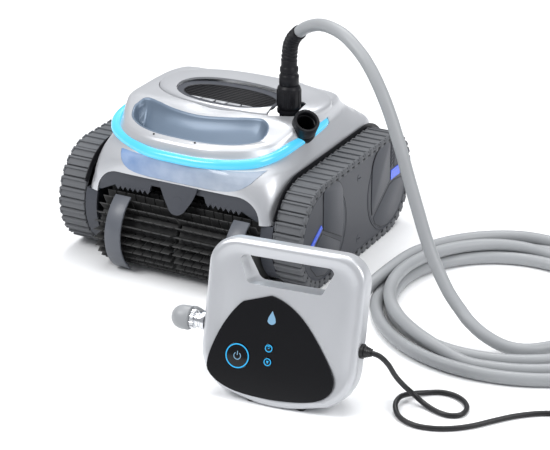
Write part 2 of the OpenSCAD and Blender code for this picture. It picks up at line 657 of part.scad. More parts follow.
// A closed smooth curve through a few points
function loop_at(p, i, t) = let (n = len(p), a = p[(i + n - 1) % n], b = p[i], c = p[(i + 1) % n],
    d = p[(i + 2) % n])
    0.5 * (2 * b + (c - a) * t + (2 * a - 5 * b + 4 * c - d) * t * t + (3 * b - a - 3 * c + d) * t * t * t);
function smooth_loop(p, k) = [for (i = [0:len(p) - 1], j = [0:k - 1]) loop_at(p, i, j / k)];
panel_knots = [[-16, 145], [24, 126], [60, 84], [79, 46], [62, 21], [10, 11], [-52, 13], [-88, 28], [-95,
    50], [-78, 98], [-50, 135]];
function panel_points(g) = let (c = [-8, 66]) [for (q = smooth_loop(panel_knots, 5)) let (p = c + (q - c)
    * panel_scale) p + g * unit(p - c)];
module keys_cut(grow, y0, h) {
    key_cut(key_c, power_key_d + grow, y0, h);
    for (c = mode_c) key_cut(c, mode_key_d + grow, y0, h);
}
module key_cut(c, d, y0, h) translate([c[0], y0, c[1]]) rotate([-90, 0, 0]) cylinder(d = d, h = h);

module box_front_shell() box_frame() color(SILVER) difference() {
    hull() {
        slab(3, box_rim - 3) polygon(face_points(0));
        slab(0, 1) polygon(face_points(-4));
    }
    difference() {
        slab(wall + 5, box_rim) polygon(face_points(-wall - 2));
        slab(0, box_rim + 1) polygon(grip_points(4));
        below(foot_h + wall);
    }
    below(foot_h);
    feet(foot_d + 2 * seat_gap, 0, foot_h + 1.5 + seat_gap);
    slab(-1, box_rim + 4) polygon(grip_points(0));
    slab(-1, 3.4) polygon(panel_points(seat_gap));
    keys_cut(2 * move_gap + 2, -1, 16);
    side_port(1, gland_v) translate([0, 0, -20]) cylinder(d = 12, h = 30);
    side_port(-1, port_v) translate([0, 0, -20]) cylinder(d = 16, h = 30);
}
// Everything below the level h over the ground, for the box's flat underside
module below(h) rotate([box_lean, 0, 0]) translate([-box_w, -box_depth, -100]) cube([2 * box_w,
    4 * box_depth, 100 + h - box_at[2]]);
module feet(d, z0, h) for (x = [-34, 34], y = [16, 70]) rotate([box_lean, 0, 0]) translate([x, y,
    z0 - box_at[2]]) cylinder(d = d, h = h);
foot_d = 14;
module back_form(g) hull() {
    slab(box_rim + 0.2, 3) polygon(face_points(-6 + g));
    slab(box_depth - 3 + g, 3) translate([0, tan(box_lean) * box_depth]) intersection() {
        polygon(face_points(-34 + g));
        translate([-200, 0]) square([400, box_h - 96]);
    }
}
module box_back_shell() box_frame() color(SILVER) difference() {
    back_form(0);
    difference() {
        translate([0, -0.1, 0]) back_form(-wall);
        below(foot_h + wall);
    }
    below(foot_h);
    feet(foot_d + 2 * seat_gap, 0, foot_h + 1.5 + seat_gap);
    slab(0, box_depth + 10) polygon(grip_points(5));
}
module control_panel() box_frame() color(BLACK) difference() {
    slab(-0.4, 2.6) polygon(panel_points(0));
    keys_cut(2 * move_gap, -2, 10);
}
module key(c, d) box_frame() color(BLACK) translate([c[0], -0.6 - key_travel, c[1]]) rotate([-90, 0, 0])
    union() {
    cylinder(d = d, h = 5);
    cylinder(d = d - 4, h = 9);
}
module power_key() key(key_c, power_key_d);
module mode_key_upper() key(mode_c[0], mode_key_d);
module mode_key_lower() key(mode_c[1], mode_key_d);
module box_circuit_board() box_frame() color(PCB) union() {
    translate([-74, 14, 30]) cube([130, 2, 92]);
    for (c = concat([key_c], mode_c)) key_cut(c, 5, 9.2, 5);
}
module power_transformer() box_frame() color(STEEL) union() {
    translate([-38, 30, 46]) cube([76, 22, 60]);
    translate([-24, 26, 52]) cube([48, 30, 48]);
}
module box_feet() box_frame() color(BLACK) feet(foot_d, 0, foot_h + 1.5);
// Side fittings: cord gland on the right, hose connector on the left
module side_port(s, v) translate([s * (box_w / 2), 14, v]) rotate([0, s * 90, 0]) children();
module cable_gland() box_frame() color(STEEL) side_port(1, gland_v) difference() {
    union() {
        translate([0, 0, -8]) cylinder(d = 12, h = 12);
        cylinder(d = 19, h = 4, $fn = 6);
        translate([0, 0, 4]) cylinder(d = 14, h = gland_l - 4);
    }
    translate([0, 0, -9]) cylinder(d = cord_d, h = gland_l + 7);
}
module hose_connector() box_frame() color(STEEL) side_port(-1, port_v) {
    difference() {
        union() {
            translate([0, 0, -8]) cylinder(d = 16, h = 10);
            cylinder(d = 24, h = 5);
            translate([0, 0, 5]) cylinder(d = 20, h = 16);
        }
        translate([0, 0, -9]) cylinder(d = 8, h = 28);
    }
    // Round-ended elbow that turns the hose to the back
    translate([0, 0, 21]) cylinder(d = elbow_d, h = 12);
    translate([0, 0, 33]) sphere(d = elbow_d);
    translate([0, 0, 33]) rotate([90, 0, 180]) cylinder(d = hose_d + 4, h = 24);
}

// ---------- cords ----------
// One tube swept along points that are smoothed by a Catmull-Rom curve
function spline_at(p, i, t) = let (n = len(p) - 1, a = p[max(i - 1, 0)], b = p[i], c = p[min(i + 1, n)],
    d = p[min(i + 2, n)])
    0.5 * (2 * b + (c - a) * t + (2 * a - 5 * b + 4 * c - d) * t * t + (3 * b - a - 3 * c + d) * t * t * t);
function smooth(p, k) = concat([for (i = [0:len(p) - 2], j = [0:k - 1]) spline_at(p, i, j / k)],
    [p[len(p) - 1]]);
function unit(v) = v / norm(v);
function tangent(p, i) = unit(p[min(i + 1, len(p) - 1)] - p[max(i - 1, 0)]);
// Each ring's sideways direction follows from the one before it, so the tube doesn't twist
function sides_of(p, prev, i = 0, out = []) = i == len(p) ? out :
    let (t = tangent(p, i), s = unit(prev - t * (prev * t))) sides_of(p, s, i + 1, concat(out, [s]));
module tube(points, k, d, sides, start_side) {
    p = smooth(points, k);
    s = sides_of(p, start_side);
    n = len(p);
    rings = [for (i = [0:n - 1], j = [0:sides - 1]) let (t = tangent(p, i), u = s[i], w = cross(t, u),
        a = 360 * j / sides)
        p[i] + d / 2 * (u * cos(a) + w * sin(a))];
    quads = [for (i = [0:n - 2], j = [0:sides - 1]) let (q = (j + 1) % sides)
        [i * sides + j, i * sides + q, (i + 1) * sides + q, (i + 1) * sides + j]];
    caps = [[for (j = [0:sides - 1]) j], [for (j = [sides - 1:-1:0]) (n - 1) * sides + j]];
    halves = [for (q = quads, t = [[3, 2, 1], [3, 1, 0]]) [q[t[0]], q[t[1]], q[t[2]]]];
    translate(home) polyhedron(rings, concat(caps, halves), convexity = 10);
}

// Hose: the arch from the strain relief over the side of the robot to the coil
relief_route = [[97, -21, 298], [98, -21, 312], [101, -23, 325], [108, -26, 337], [119, -31, 348]];
arch_route = [[119, -31, 348], [130, -36, 357], [145, -42, 365], [162, -50, 371], [184, -60, 373], [210,
    -71, 369],
    [236, -82, 356], [256, -91, 341], [276, -100, 319], [296, -109, 290], [312, -116, 260], [326, -122,
        230],
    [340, -128, 198], [356, -135, 163], [374, -143, 125], [394, -152, 93], [418, -163, 64], [442, -173,
        45], [458, -180, 35]];
// Hose: from the coil along the floor, behind the control box, up to the elbow
run_route = [[278, -108, 24], [275, -135, 15], [270, -165, 9.5], [262, -200, 9], [250, -236, 9], [234,
    -270, 9],
    [216, -300, 11], [198, -326, 17], [182, -350, 29], [170, -372, 47], [163, -391, 66], [161, -405.5,
        78], [162.5, -419, 82.5]];
coil_c = [508, -58];
module ring(c, r0, r1, h) robot() translate([c[0], c[1], 0]) rotate_extrude() translate([r0, 0])
    square([r1 - r0, h]);
module hose_tube() color(HOSE) tube(arch_route, 1, hose_d, 10, [0.4, 0.9, 0]);
module hose_run() color(HOSE) tube(run_route, 1, hose_d, 10, [0, 0, 1]);
module hose_coil() color(HOSE) ring(coil_c, hose_coil_r - 125, hose_coil_r, 2 * hose_d - 1);

// Power cord: down to the floor, one loose loop, then away to its coil
cord_route = [[419.5, -415.7, 86.7], [434, -413.5, 84], [443, -405, 70], [447, -391, 48], [452, -375,
    28], [460, -366, 15],
    [472, -366, 7], [486, -371, 4], [502, -377, 3.5], [518, -378, 3.5], [530, -369, 3.5], [530, -351,
        3.5], [519, -335, 3.5],
    [502, -326, 3.5], [484, -326, 3.5], [468, -335, 3.5], [454, -351, 3.5], [446, -372, 3.5], [449, -394,
        3.5],
    [464, -413, 3.5], [489, -422, 3.5], [514, -418, 3.5], [536, -406, 3.5], [555, -388, 3.5], [572, -365,
        3.5],
    [590, -342, 3.5], [612, -322, 3.5], [640, -306, 3.5]];
plug_route = [[747, -318, 10.5], [748, -340, 9.5], [749, -362, 11], [750, -382, 16], [750, -398, 19]];
cord_coil_c = [694, -316];
plug_at = [750, -457, 0];
module power_cord() color(BLACK) {
    tube(cord_route, 1, cord_d, 8, [0, 0, 1]);
    tube(plug_route, 1, cord_d, 8, [0, 0, 1]);
}
module power_cord_coil() color(BLACK) ring(cord_coil_c, 28, 57, 2 * cord_d);
module mains_plug() robot() translate(plug_at) rotate(90) color(BLACK) union() {
        translate([0, 0, 19]) rotate([0, 90, 0]) hull() {
            cylinder(d = 38, h = 14, $fn = 32);
            translate([0, 0, 30]) cylinder(d = 22, h = 4, $fn = 32);
        }
        translate([-20, 9.5, 19]) rotate([0, 90, 0]) cylinder(d = 4.8, h = 21);
        translate([-20, -9.5, 19]) rotate([0, 90, 0]) cylinder(d = 4.8, h = 21);
        translate([33, 0, 19]) rotate([0, 90, 0]) cylinder(d = 12, h = 26);
}

chassis_tub();
belly_plate();
upper_shell();
handle_tray();
front_window();
light_bar();
front_scoop();
scoop_badge();
brush_guards();
side_guards();
track_belt_left();
track_belt_right();
side_cover_left();
side_cover_right();
front_hub_covers();
rear_hub_covers();
hub_accents();
cover_screws();
rear_axles();
drive_motors();
pump_motor();
shaft_bushes();
filter_basket();
hose_socket();
jet_nozzle();
front_wheel_left();
front_wheel_right();
rear_wheel_left();
rear_wheel_right();
drive_shaft_left();
drive_shaft_right();
brush_shaft();
brush_left();
brush_right();
impeller();
lid();
outlet_grille();
lid_hinge_pins();
intake_flap_left();
intake_flap_right();
union_nut();
box_front_shell();
box_back_shell();
control_panel();
box_circuit_board();
power_transformer();
cable_gland();
hose_connector();
box_feet();
power_key();
mode_key_upper();
mode_key_lower();
hose_tail();
hose_tube();
hose_run();
hose_coil();
power_cord();
power_cord_coil();
mains_plug();
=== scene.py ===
"""Looks of a tracked pool cleaning robot with its hose, control box and power cord."""
import logging
import math
from dataclasses import dataclass, field
from enum import Enum
from typing import Callable, Sequence

import bmesh
import bpy
from mathutils import Matrix, Vector


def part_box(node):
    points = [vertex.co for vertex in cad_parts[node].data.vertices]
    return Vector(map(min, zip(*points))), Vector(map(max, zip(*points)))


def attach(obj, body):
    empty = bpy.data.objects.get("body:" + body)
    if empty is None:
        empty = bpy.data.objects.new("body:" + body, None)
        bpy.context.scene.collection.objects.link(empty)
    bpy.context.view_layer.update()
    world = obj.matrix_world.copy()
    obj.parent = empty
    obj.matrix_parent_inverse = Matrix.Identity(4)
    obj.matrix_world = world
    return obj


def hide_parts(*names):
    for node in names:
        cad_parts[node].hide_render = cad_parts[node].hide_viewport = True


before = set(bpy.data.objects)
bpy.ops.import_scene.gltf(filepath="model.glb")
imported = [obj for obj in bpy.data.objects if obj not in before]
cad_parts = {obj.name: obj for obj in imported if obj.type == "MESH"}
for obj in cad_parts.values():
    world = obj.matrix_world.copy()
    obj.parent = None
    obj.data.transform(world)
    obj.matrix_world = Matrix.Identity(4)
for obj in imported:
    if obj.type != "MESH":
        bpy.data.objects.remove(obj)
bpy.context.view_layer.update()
LOG = logging.getLogger("pool_cleaner")
MM = 0.001
TURN = 2 * math.pi


def robot_middle() -> Vector:
    """Finds the ground point between the two tracks, from which robot places are counted."""
    left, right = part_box("track_belt_left"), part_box("track_belt_right")
    return Vector(((left[0][0] + right[1][0]) / 2, (left[0][1] + left[1][1]) / 2, 0))


HOME = robot_middle()
BOX_CORNER = (308.0, -465.0, 1.5)
BOX_YAW, BOX_LEAN = math.radians(6), math.radians(15)


def at(x: float, y: float, z: float) -> Vector:
    """Turns robot millimetres into a point of the frame."""
    return HOME + Vector((x, y, z)) * MM


def robot_matrix() -> Matrix:
    """Gives the placing of pieces drawn in robot millimetres."""
    return Matrix.Translation(HOME) @ Matrix.Scale(MM, 4)


def box_matrix() -> Matrix:
    """Gives the placing of pieces drawn on the leaning control box in millimetres.

    Returns:
        The matrix whose axes run across the face, back from it and up it.
    """
    lean = Matrix.Rotation(BOX_YAW, 4, "Z") @ Matrix.Rotation(-BOX_LEAN, 4, "X")
    return Matrix.Translation(at(*BOX_CORNER)) @ lean @ Matrix.Scale(MM, 4)


# ---------------------------------------------------------------- shaders


class Term:
    """One shader value that takes part in sums and products."""

    def __init__(self, surface: "Surface", socket: bpy.types.NodeSocket) -> None:
        """Wraps an output socket of the surface's node tree."""
        self.surface = surface
        self.socket = socket

    def _math(self, operation: str, first: object, second: object) -> "Term":
        """Adds one Math node and gives its result."""
        return self.surface.node("ShaderNodeMath", {"operation": operation}, {0: first, 1: second})

    def __add__(self, other: object) -> "Term":
        """Adds a value."""
        return self._math("ADD", self, other)

    __radd__ = __add__

    def __sub__(self, other: object) -> "Term":
        """Takes a value away."""
        return self._math("SUBTRACT", self, other)

    def __rsub__(self, other: object) -> "Term":
        """Takes this away from a value."""
        return self._math("SUBTRACT", other, self)

    def __mul__(self, other: object) -> "Term":
        """Multiplies by a value."""
        return self._math("MULTIPLY", self, other)

    __rmul__ = __mul__

    def __gt__(self, other: object) -> "Term":
        """Gives 1 where this is greater, else 0."""
        return self._math("GREATER_THAN", self, other)


class Surface:
    """A node material under construction."""

    def __init__(self, name: str) -> None:
        """Starts a material with one Principled shader."""
        self.material = bpy.data.materials.new(name)
        self.material.use_nodes = True
        self.tree = self.material.node_tree
        self.shader = self.tree.nodes["Principled BSDF"]

    def node(self, kind: str, settings: dict | None = None, inputs: dict | None = None, out: object = 0) -> Term:
        """Adds a node.

        Args:
            kind: The node's type.
            settings: Attributes that are set first.
            inputs: Values or terms for its sockets.
            out: The output socket that is handed on.

        Returns:
            The chosen output as a term.
        """
        made = self.tree.nodes.new(kind)
        for key, value in (settings or {}).items():
            setattr(made, key, value)
        for key, value in (inputs or {}).items():
            self.feed(made.inputs[key], value)
        return Term(self, made.outputs[out])

    def feed(self, socket: bpy.types.NodeSocket, value: object) -> None:
        """Links a term to a socket, or sets the socket's own value."""
        if isinstance(value, Term):
            self.tree.links.new(value.socket, socket)
        else:
            socket.default_value = value

    def set(self, **values: object) -> None:
        """Sets or links the shader's sockets, named with underscores for spaces."""
        for key, value in values.items():
            self.feed(self.shader.inputs[key.replace("_", " ")], value)

    def place(self, stretch: tuple = (1, 1, 1)) -> Term:
        """Gives the object coordinates, stretched along the axes."""
        raw = self.node("ShaderNodeTexCoord", out="Object")
        if stretch == (1, 1, 1):
            return raw
        return self.node("ShaderNodeMapping", {}, {"Vector": raw, "Scale": stretch})

    def noise(self, place: Term, scale: float, detail: float = 3, roughness: float = 0.5) -> Term:
        """Gives a soft noise from 0 to 1."""
        return self.node("ShaderNodeTexNoise", {}, {"Vector": place, "Scale": scale, "Detail": detail,
                                                    "Roughness": roughness}, "Fac")

    def blend(self, share: object, first: object, second: object) -> Term:
        """Mixes two colours."""
        made = self.tree.nodes.new("ShaderNodeMix")
        made.data_type = "RGBA"
        for key, value in ((0, share), (6, first), (7, second)):
            self.feed(made.inputs[key], value)
        return Term(self, made.outputs[2])

    def emboss(self, height: Term, depth: float, strength: float = 1.0) -> None:
        """Lets a height in units of depth, in metres, tilt the shader's normal."""
        self.set(Normal=self.node("ShaderNodeBump", {}, {"Height": height, "Distance": depth,
                                                         "Strength": strength}, "Normal"))


def rgba(colour: tuple) -> tuple:
    """Adds a full alpha to a colour."""
    return (*colour, 1.0)


@dataclass(frozen=True)
class Finish:
    """A moulded, painted or rubber finish with fine grain.

    Attributes:
        name: The material's name.
        colour: Main colour.
        tint: Colour of its faint clouds.
        roughness: Middle roughness.
        spread: How far the roughness wanders.
        metallic: Metal share.
        coat: Weight of a clear coat.
        grain: Grain cells a metre.
        depth: Height of the grain in metres.
        stretch: Stretch of the grain along the axes.
        shine: Level of the plain reflection.
    """

    name: str
    colour: tuple
    tint: tuple
    roughness: float
    spread: float = 0.08
    metallic: float = 0.0
    coat: float = 0.0
    grain: float = 900.0
    depth: float = 0.00004
    stretch: tuple = (1, 1, 1)
    shine: float = 0.35

    def make(self) -> bpy.types.Material:
        """Builds the node material."""
        s = Surface(self.name)
        clouds = s.noise(s.place(), 14.0, 4)
        fine = s.noise(s.place(self.stretch), self.grain, 2)
        s.set(Base_Color=s.blend(clouds, rgba(self.colour), rgba(self.tint)),
              Roughness=(clouds + fine - 1.0) * self.spread + self.roughness,
              Metallic=self.metallic, Coat_Weight=self.coat, Coat_Roughness=0.12,
              Specular_IOR_Level=self.shine)
        s.emboss(fine, self.depth)
        return s.material


@dataclass(frozen=True)
class Glow:
    """A lit tube: clear plastic with light in it."""

    name: str
    colour: tuple
    edge: tuple
    power: float

    def make(self) -> bpy.types.Material:
        """Builds the lit material."""
        s = Surface(self.name)
        streaks = s.noise(s.place(), 14.0, 2)
        s.set(Base_Color=s.blend(streaks, (0.01, 0.15, 0.3, 1), (0.01, 0.2, 0.36, 1)), Roughness=0.25,
              Emission_Color=s.blend(streaks, rgba(self.colour), rgba(self.edge)),
              Emission_Strength=self.power, Coat_Weight=0.4)
        return s.material


@dataclass(frozen=True)
class Frosted:
    """A frosted pane whose colour drifts from one end to the other, with a faint painted glow."""

    name: str
    cool: tuple
    warm: tuple
    middle: float

    def make(self) -> bpy.types.Material:
        """Builds the pane's material."""
        s = Surface(self.name)
        split = s.node("ShaderNodeSeparateXYZ", {}, {"Vector": s.place()}, "X")
        mist = s.noise(s.place(), 40.0, 3)
        drift = s.node("ShaderNodeMath", {"operation": "MULTIPLY_ADD", "use_clamp": True},
                       {0: split, 1: 5.0, 2: 0.5 - 5.0 * self.middle})
        tone = s.blend(drift, rgba(self.cool), rgba(self.warm))
        # Painted glow: the pane gives off faint light in its own tone, though it is no lamp.
        s.set(Base_Color=s.blend(mist * 0.35, tone, (0.86, 0.9, 0.95, 1)), Roughness=mist * 0.12 + 0.26,
              Emission_Color=tone, Emission_Strength=0.04, Coat_Weight=0.3)
        s.emboss(s.noise(s.place(), 1400.0, 2), 0.00003)
        return s.material


class Paint(Enum):
    """The finishes of this machine."""

    SILVER = Finish("silver_paint", (0.49, 0.50, 0.52), (0.53, 0.54, 0.56), 0.33, 0.06, 0.5, 0.25, 1600, 0.000012)
    # Painted shade: the slot lining and the filter basket are darkened to blue-grey to stand in for the shade inside
    # the recess.
    SEAT = Finish("recess_painted_shade", (0.12, 0.165, 0.225), (0.15, 0.195, 0.255), 0.4, 0.06, 0.25, 0.1, 1400, 0.00002)
    GREY = Finish("grey_moulding", (0.052, 0.056, 0.067), (0.062, 0.066, 0.078), 0.42, 0.1, 0.0, 0.05, 1200, 0.00005,
                  shine=0.2)
    STRAP = Finish("strap_moulding", (0.085, 0.092, 0.107), (0.097, 0.104, 0.12), 0.38, 0.1, 0.0, 0.05, 1200, 0.00004)
    COVER = Finish("cover_moulding", (0.044, 0.047, 0.057), (0.053, 0.056, 0.067), 0.4, 0.1, 0.0, 0.06, 1100, 0.00004,
                   shine=0.2)
    TREAD = Finish("track_rubber", (0.022, 0.024, 0.03), (0.032, 0.034, 0.042), 0.5, 0.12, 0.0, 0.0, 900, 0.00008,
                   shine=0.18)
    BLACK = Finish("black_moulding", (0.006, 0.006, 0.008), (0.011, 0.011, 0.013), 0.4, 0.1, 0.0, 0.0, 1000, 0.00004,
                   shine=0.2)
    BRUSH = Finish("brush_rubber", (0.0035, 0.0035, 0.0045), (0.007, 0.007, 0.008), 0.42, 0.12, 0.0, 0.0, 800, 0.00006,
                   shine=0.2)
    HOSE = Finish("grey_hose", (0.27, 0.28, 0.29), (0.31, 0.32, 0.33), 0.40, 0.1, 0.0, 0.08, 500, 0.00006)
    CORD = Finish("black_cord", (0.008, 0.008, 0.009), (0.013, 0.013, 0.014), 0.38, 0.1, 0.0, 0.0, 700, 0.00004)
    STEEL = Finish("bright_steel", (0.62, 0.63, 0.65), (0.70, 0.71, 0.73), 0.2, 0.12, 1.0, 0.0, 700, 0.00002, (1, 9, 1))
    BRASS = Finish("turned_brass", (0.62, 0.45, 0.18), (0.70, 0.52, 0.24), 0.28, 0.1, 1.0, 0.0, 700, 0.00002)
    BLUE = Finish("blue_accent", (0.0, 0.018, 0.40), (0.0, 0.03, 0.48), 0.3, 0.05, 0.0, 0.2, 900, 0.00002, shine=0.2)
    GLASS = Finish("black_glass", (0.002, 0.002, 0.003), (0.004, 0.004, 0.005), 0.14, 0.03, 0.0, 0.1, 300, 0.000004,
                   shine=0.25)
    BOARD = Finish("green_board", (0.02, 0.16, 0.06), (0.03, 0.20, 0.08), 0.4, 0.1, 0.0, 0.3, 500, 0.00003)
    # Painted shade: near-black for the plate at the bottom of the carrying slot.
    SHADE = Finish("dark_slot", (0.008, 0.012, 0.03), (0.012, 0.018, 0.042), 0.5, 0.1, 0.0, 0.0, 800, 0.00004)
    LIGHT = Glow("light_tube", (0.07, 0.58, 0.90), (0.17, 0.72, 1.0), 0.80)
    SIGN = Glow("lit_sign", (0.01, 0.36, 0.75), (0.02, 0.45, 0.85), 0.8)
    MARK = Glow("white_sign", (0.70, 0.76, 0.80), (0.80, 0.86, 0.9), 0.3)
    PANE = Frosted("frosted_pane", (0.01, 0.13, 0.38), (0.20, 0.25, 0.33), -0.15)

    def material(self) -> bpy.types.Material:
        """Gives the one material of this finish."""
        known = bpy.data.materials.get(self.value.name)
        return known or self.value.make()


# ---------------------------------------------------------------- shapes

Place = Callable[[float, float], Vector]


def skin(shape: Place, across: int, along: int) -> bmesh.types.BMesh:
    """Bends a grid into a surface and welds what meets.

    Args:
        shape: Gives the point for two shares from 0 to 1.
        across: Cells in the first direction.
        along: Cells in the second direction.
    """
    bm = bmesh.new()
    bmesh.ops.create_grid(bm, x_segments=across, y_segments=along, size=0.5)
    for v in bm.verts:
        v.co = shape(min(max(v.co.x + 0.5, 0), 1), min(max(v.co.y + 0.5, 0), 1))
    bmesh.ops.remove_doubles(bm, verts=bm.verts, dist=1e-4)
    bmesh.ops.recalc_face_normals(bm, faces=bm.faces)
    return bm


def soften(bm: bmesh.types.BMesh, width: float, steps: int = 2, angle: float = 35) -> bmesh.types.BMesh:
    """Bevels the edges that are sharper than an angle in degrees."""
    sharp = [e for e in bm.edges if len(e.link_faces) == 2 and e.calc_face_angle() > math.radians(angle)]
    bmesh.ops.bevel(bm, geom=sharp, offset=width, segments=steps, profile=0.5, affect="EDGES",
                    clamp_overlap=True, material=-1)
    return bm


def plate(outline: Sequence[tuple], low: float, high: float, axis: str = "Z") -> bmesh.types.BMesh:
    """Extrudes a closed outline.

    Args:
        outline: Points of the outline.
        low: Where the plate starts along the axis.
        high: Where it ends.
        axis: Z, or X for outlines of Y and Z, or Y for outlines of X and Z.
    """
    bm = bmesh.new()
    made = bmesh.ops.create_circle(bm, cap_ends=True, segments=len(outline), radius=1)["verts"]
    for v, (a, b) in zip(made, outline):
        v.co = {"Z": Vector((a, b, low)), "X": Vector((low, a, b)), "Y": Vector((a, low, b))}[axis]
    step = {"Z": (0, 0, high - low), "X": (high - low, 0, 0), "Y": (0, high - low, 0)}[axis]
    top = bmesh.ops.extrude_face_region(bm, geom=list(bm.faces), use_keep_orig=True)["geom"]
    bmesh.ops.translate(bm, verts=[g for g in top if isinstance(g, bmesh.types.BMVert)], vec=step)
    bmesh.ops.recalc_face_normals(bm, faces=bm.faces)
    return bm


def block(size: tuple, centre: tuple, round_off: float, steps: int = 2) -> bmesh.types.BMesh:
    """Makes a block with rounded edges."""
    bm = bmesh.new()
    bmesh.ops.create_cube(bm, size=1)
    bmesh.ops.scale(bm, vec=size, verts=bm.verts)
    bmesh.ops.bevel(bm, geom=bm.edges[:], offset=round_off, segments=steps, profile=0.5, affect="EDGES",
                    clamp_overlap=True, material=-1)
    bmesh.ops.translate(bm, vec=centre, verts=bm.verts)
    return bm


def turned(profile: Sequence[tuple], steps: int = 48) -> bmesh.types.BMesh:
    """Spins a closed profile of radius and height about the Z axis."""
    bm = bmesh.new()
    ring = bmesh.ops.create_circle(bm, cap_ends=False, segments=len(profile), radius=1)["verts"]
    for v, (r, z) in zip(ring, profile):
        v.co = (max(r, 0), 0, z)
    bmesh.ops.spin(bm, geom=bm.verts[:] + bm.edges[:], cent=(0, 0, 0), axis=(0, 0, 1), angle=TURN,
                   steps=steps, use_merge=True)
    bmesh.ops.remove_doubles(bm, verts=bm.verts, dist=1e-4)
    bmesh.ops.recalc_face_normals(bm, faces=bm.faces)
    return bm


def catmull(points: Sequence[Sequence[float]], cuts: int) -> list[Vector]:
    """Draws a smooth curve through points, with some cuts between each two."""
    p = [Vector(q) for q in points]
    out: list[Vector] = []
    for i in range(len(p) - 1):
        a, b, c, d = p[max(i - 1, 0)], p[i], p[i + 1], p[min(i + 2, len(p) - 1)]
        for j in range(cuts):
            t = j / cuts
            out.append(0.5 * (2 * b + (c - a) * t + (2 * a - 5 * b + 4 * c - d) * t * t
                              + (3 * b - a - 3 * c + d) * t ** 3))
    return out + [p[-1]]


def tube(path: Sequence[Vector], radius: Callable[[float], float], sides: int = 16,
         squash: tuple = (1.0, 1.0), up: Vector = Vector((0, 0, 1))) -> bmesh.types.BMesh:
    """Sweeps a round or oval section along a path and closes both ends.

    Args:
        path: Points of the centreline.
        radius: Gives the radius for the share of the path from 0 to 1.
        sides: Points round the section.
        squash: Widths of the section sideways and along up.
        up: The direction that the section's second axis keeps to.
    """
    n = len(path) - 1
    turns = []
    side = up.cross(path[1] - path[0]).normalized()
    for i in range(n + 1):
        along = (path[min(i + 1, n)] - path[max(i - 1, 0)]).normalized()
        side = (side - along * side.dot(along)).normalized()
        turns.append((side.copy(), along.cross(side)))

    def shape(u: float, v: float) -> Vector:
        """Gives a point of the tube; the first and last rows close the ends."""
        row = round(v * (n + 2)) - 1
        i = min(max(row, 0), n)
        size = 0.0 if row != i else radius(i / n)
        a = TURN * u
        return path[i] + (turns[i][0] * math.cos(a) * squash[0] + turns[i][1] * math.sin(a) * squash[1]) * size

    return skin(shape, sides, n + 2)


def joined(parts: Sequence[bmesh.types.BMesh]) -> bmesh.types.BMesh:
    """Puts several meshes into one."""
    whole = bmesh.new()
    for part in parts:
        mesh = bpy.data.meshes.new("part")
        part.to_mesh(mesh)
        whole.from_mesh(mesh)
        bpy.data.meshes.remove(mesh)
        part.free()
    return whole


def moved(bm: bmesh.types.BMesh, matrix: Matrix) -> bmesh.types.BMesh:
    """Transforms a mesh and gives it back."""
    bmesh.ops.transform(bm, matrix=matrix, verts=bm.verts)
    return bm


def oval(c: tuple, hw: float, hl: float, power: float, n: int = 72) -> list[tuple]:
    """Gives a superellipse outline."""
    out = []
    for i in range(n):
        a = TURN * i / n
        x, y = math.cos(a), math.sin(a)
        out.append((c[0] + hw * math.copysign(abs(x) ** (2 / power), x),
                    c[1] + hl * math.copysign(abs(y) ** (2 / power), y)))
    return out


def round_box(w: float, h: float, r: float, c: tuple = (0, 0), n: int = 8) -> list[tuple]:
    """Gives a rectangle outline with round corners."""
    out = []
    for k, (sx, sy) in enumerate(((1, 1), (-1, 1), (-1, -1), (1, -1))):
        for i in range(n + 1):
            a = math.radians(90 * k + 90 * i / n)
            out.append((c[0] + sx * (w / 2 - r) + r * math.cos(a), c[1] + sy * (h / 2 - r) + r * math.sin(a)))
    return out


def arc(c: tuple, r: float, a0: float, a1: float, n: int) -> list[tuple]:
    """Gives points of an arc, angles in degrees."""
    return [(c[0] + r * math.cos(math.radians(a0 + (a1 - a0) * i / n)),
             c[1] + r * math.sin(math.radians(a0 + (a1 - a0) * i / n))) for i in range(n + 1)]


def smoothstep(x: float, low: float, high: float) -> float:
    """Rises softly from 0 at low to 1 at high."""
    t = min(max((x - low) / (high - low), 0), 1)
    return t * t * (3 - 2 * t)


def rows(table: Sequence[tuple], x: float) -> list[float]:
    """Reads a table of rows by its first column, with straight steps between."""
    if x <= table[0][0]:
        return list(table[0][1:])
    for a, b in zip(table, table[1:]):
        if x <= b[0]:
            t = (x - a[0]) / (b[0] - a[0])
            return [p + (q - p) * t for p, q in zip(a[1:], b[1:])]
    return list(table[-1][1:])


# ---------------------------------------------------------------- pieces


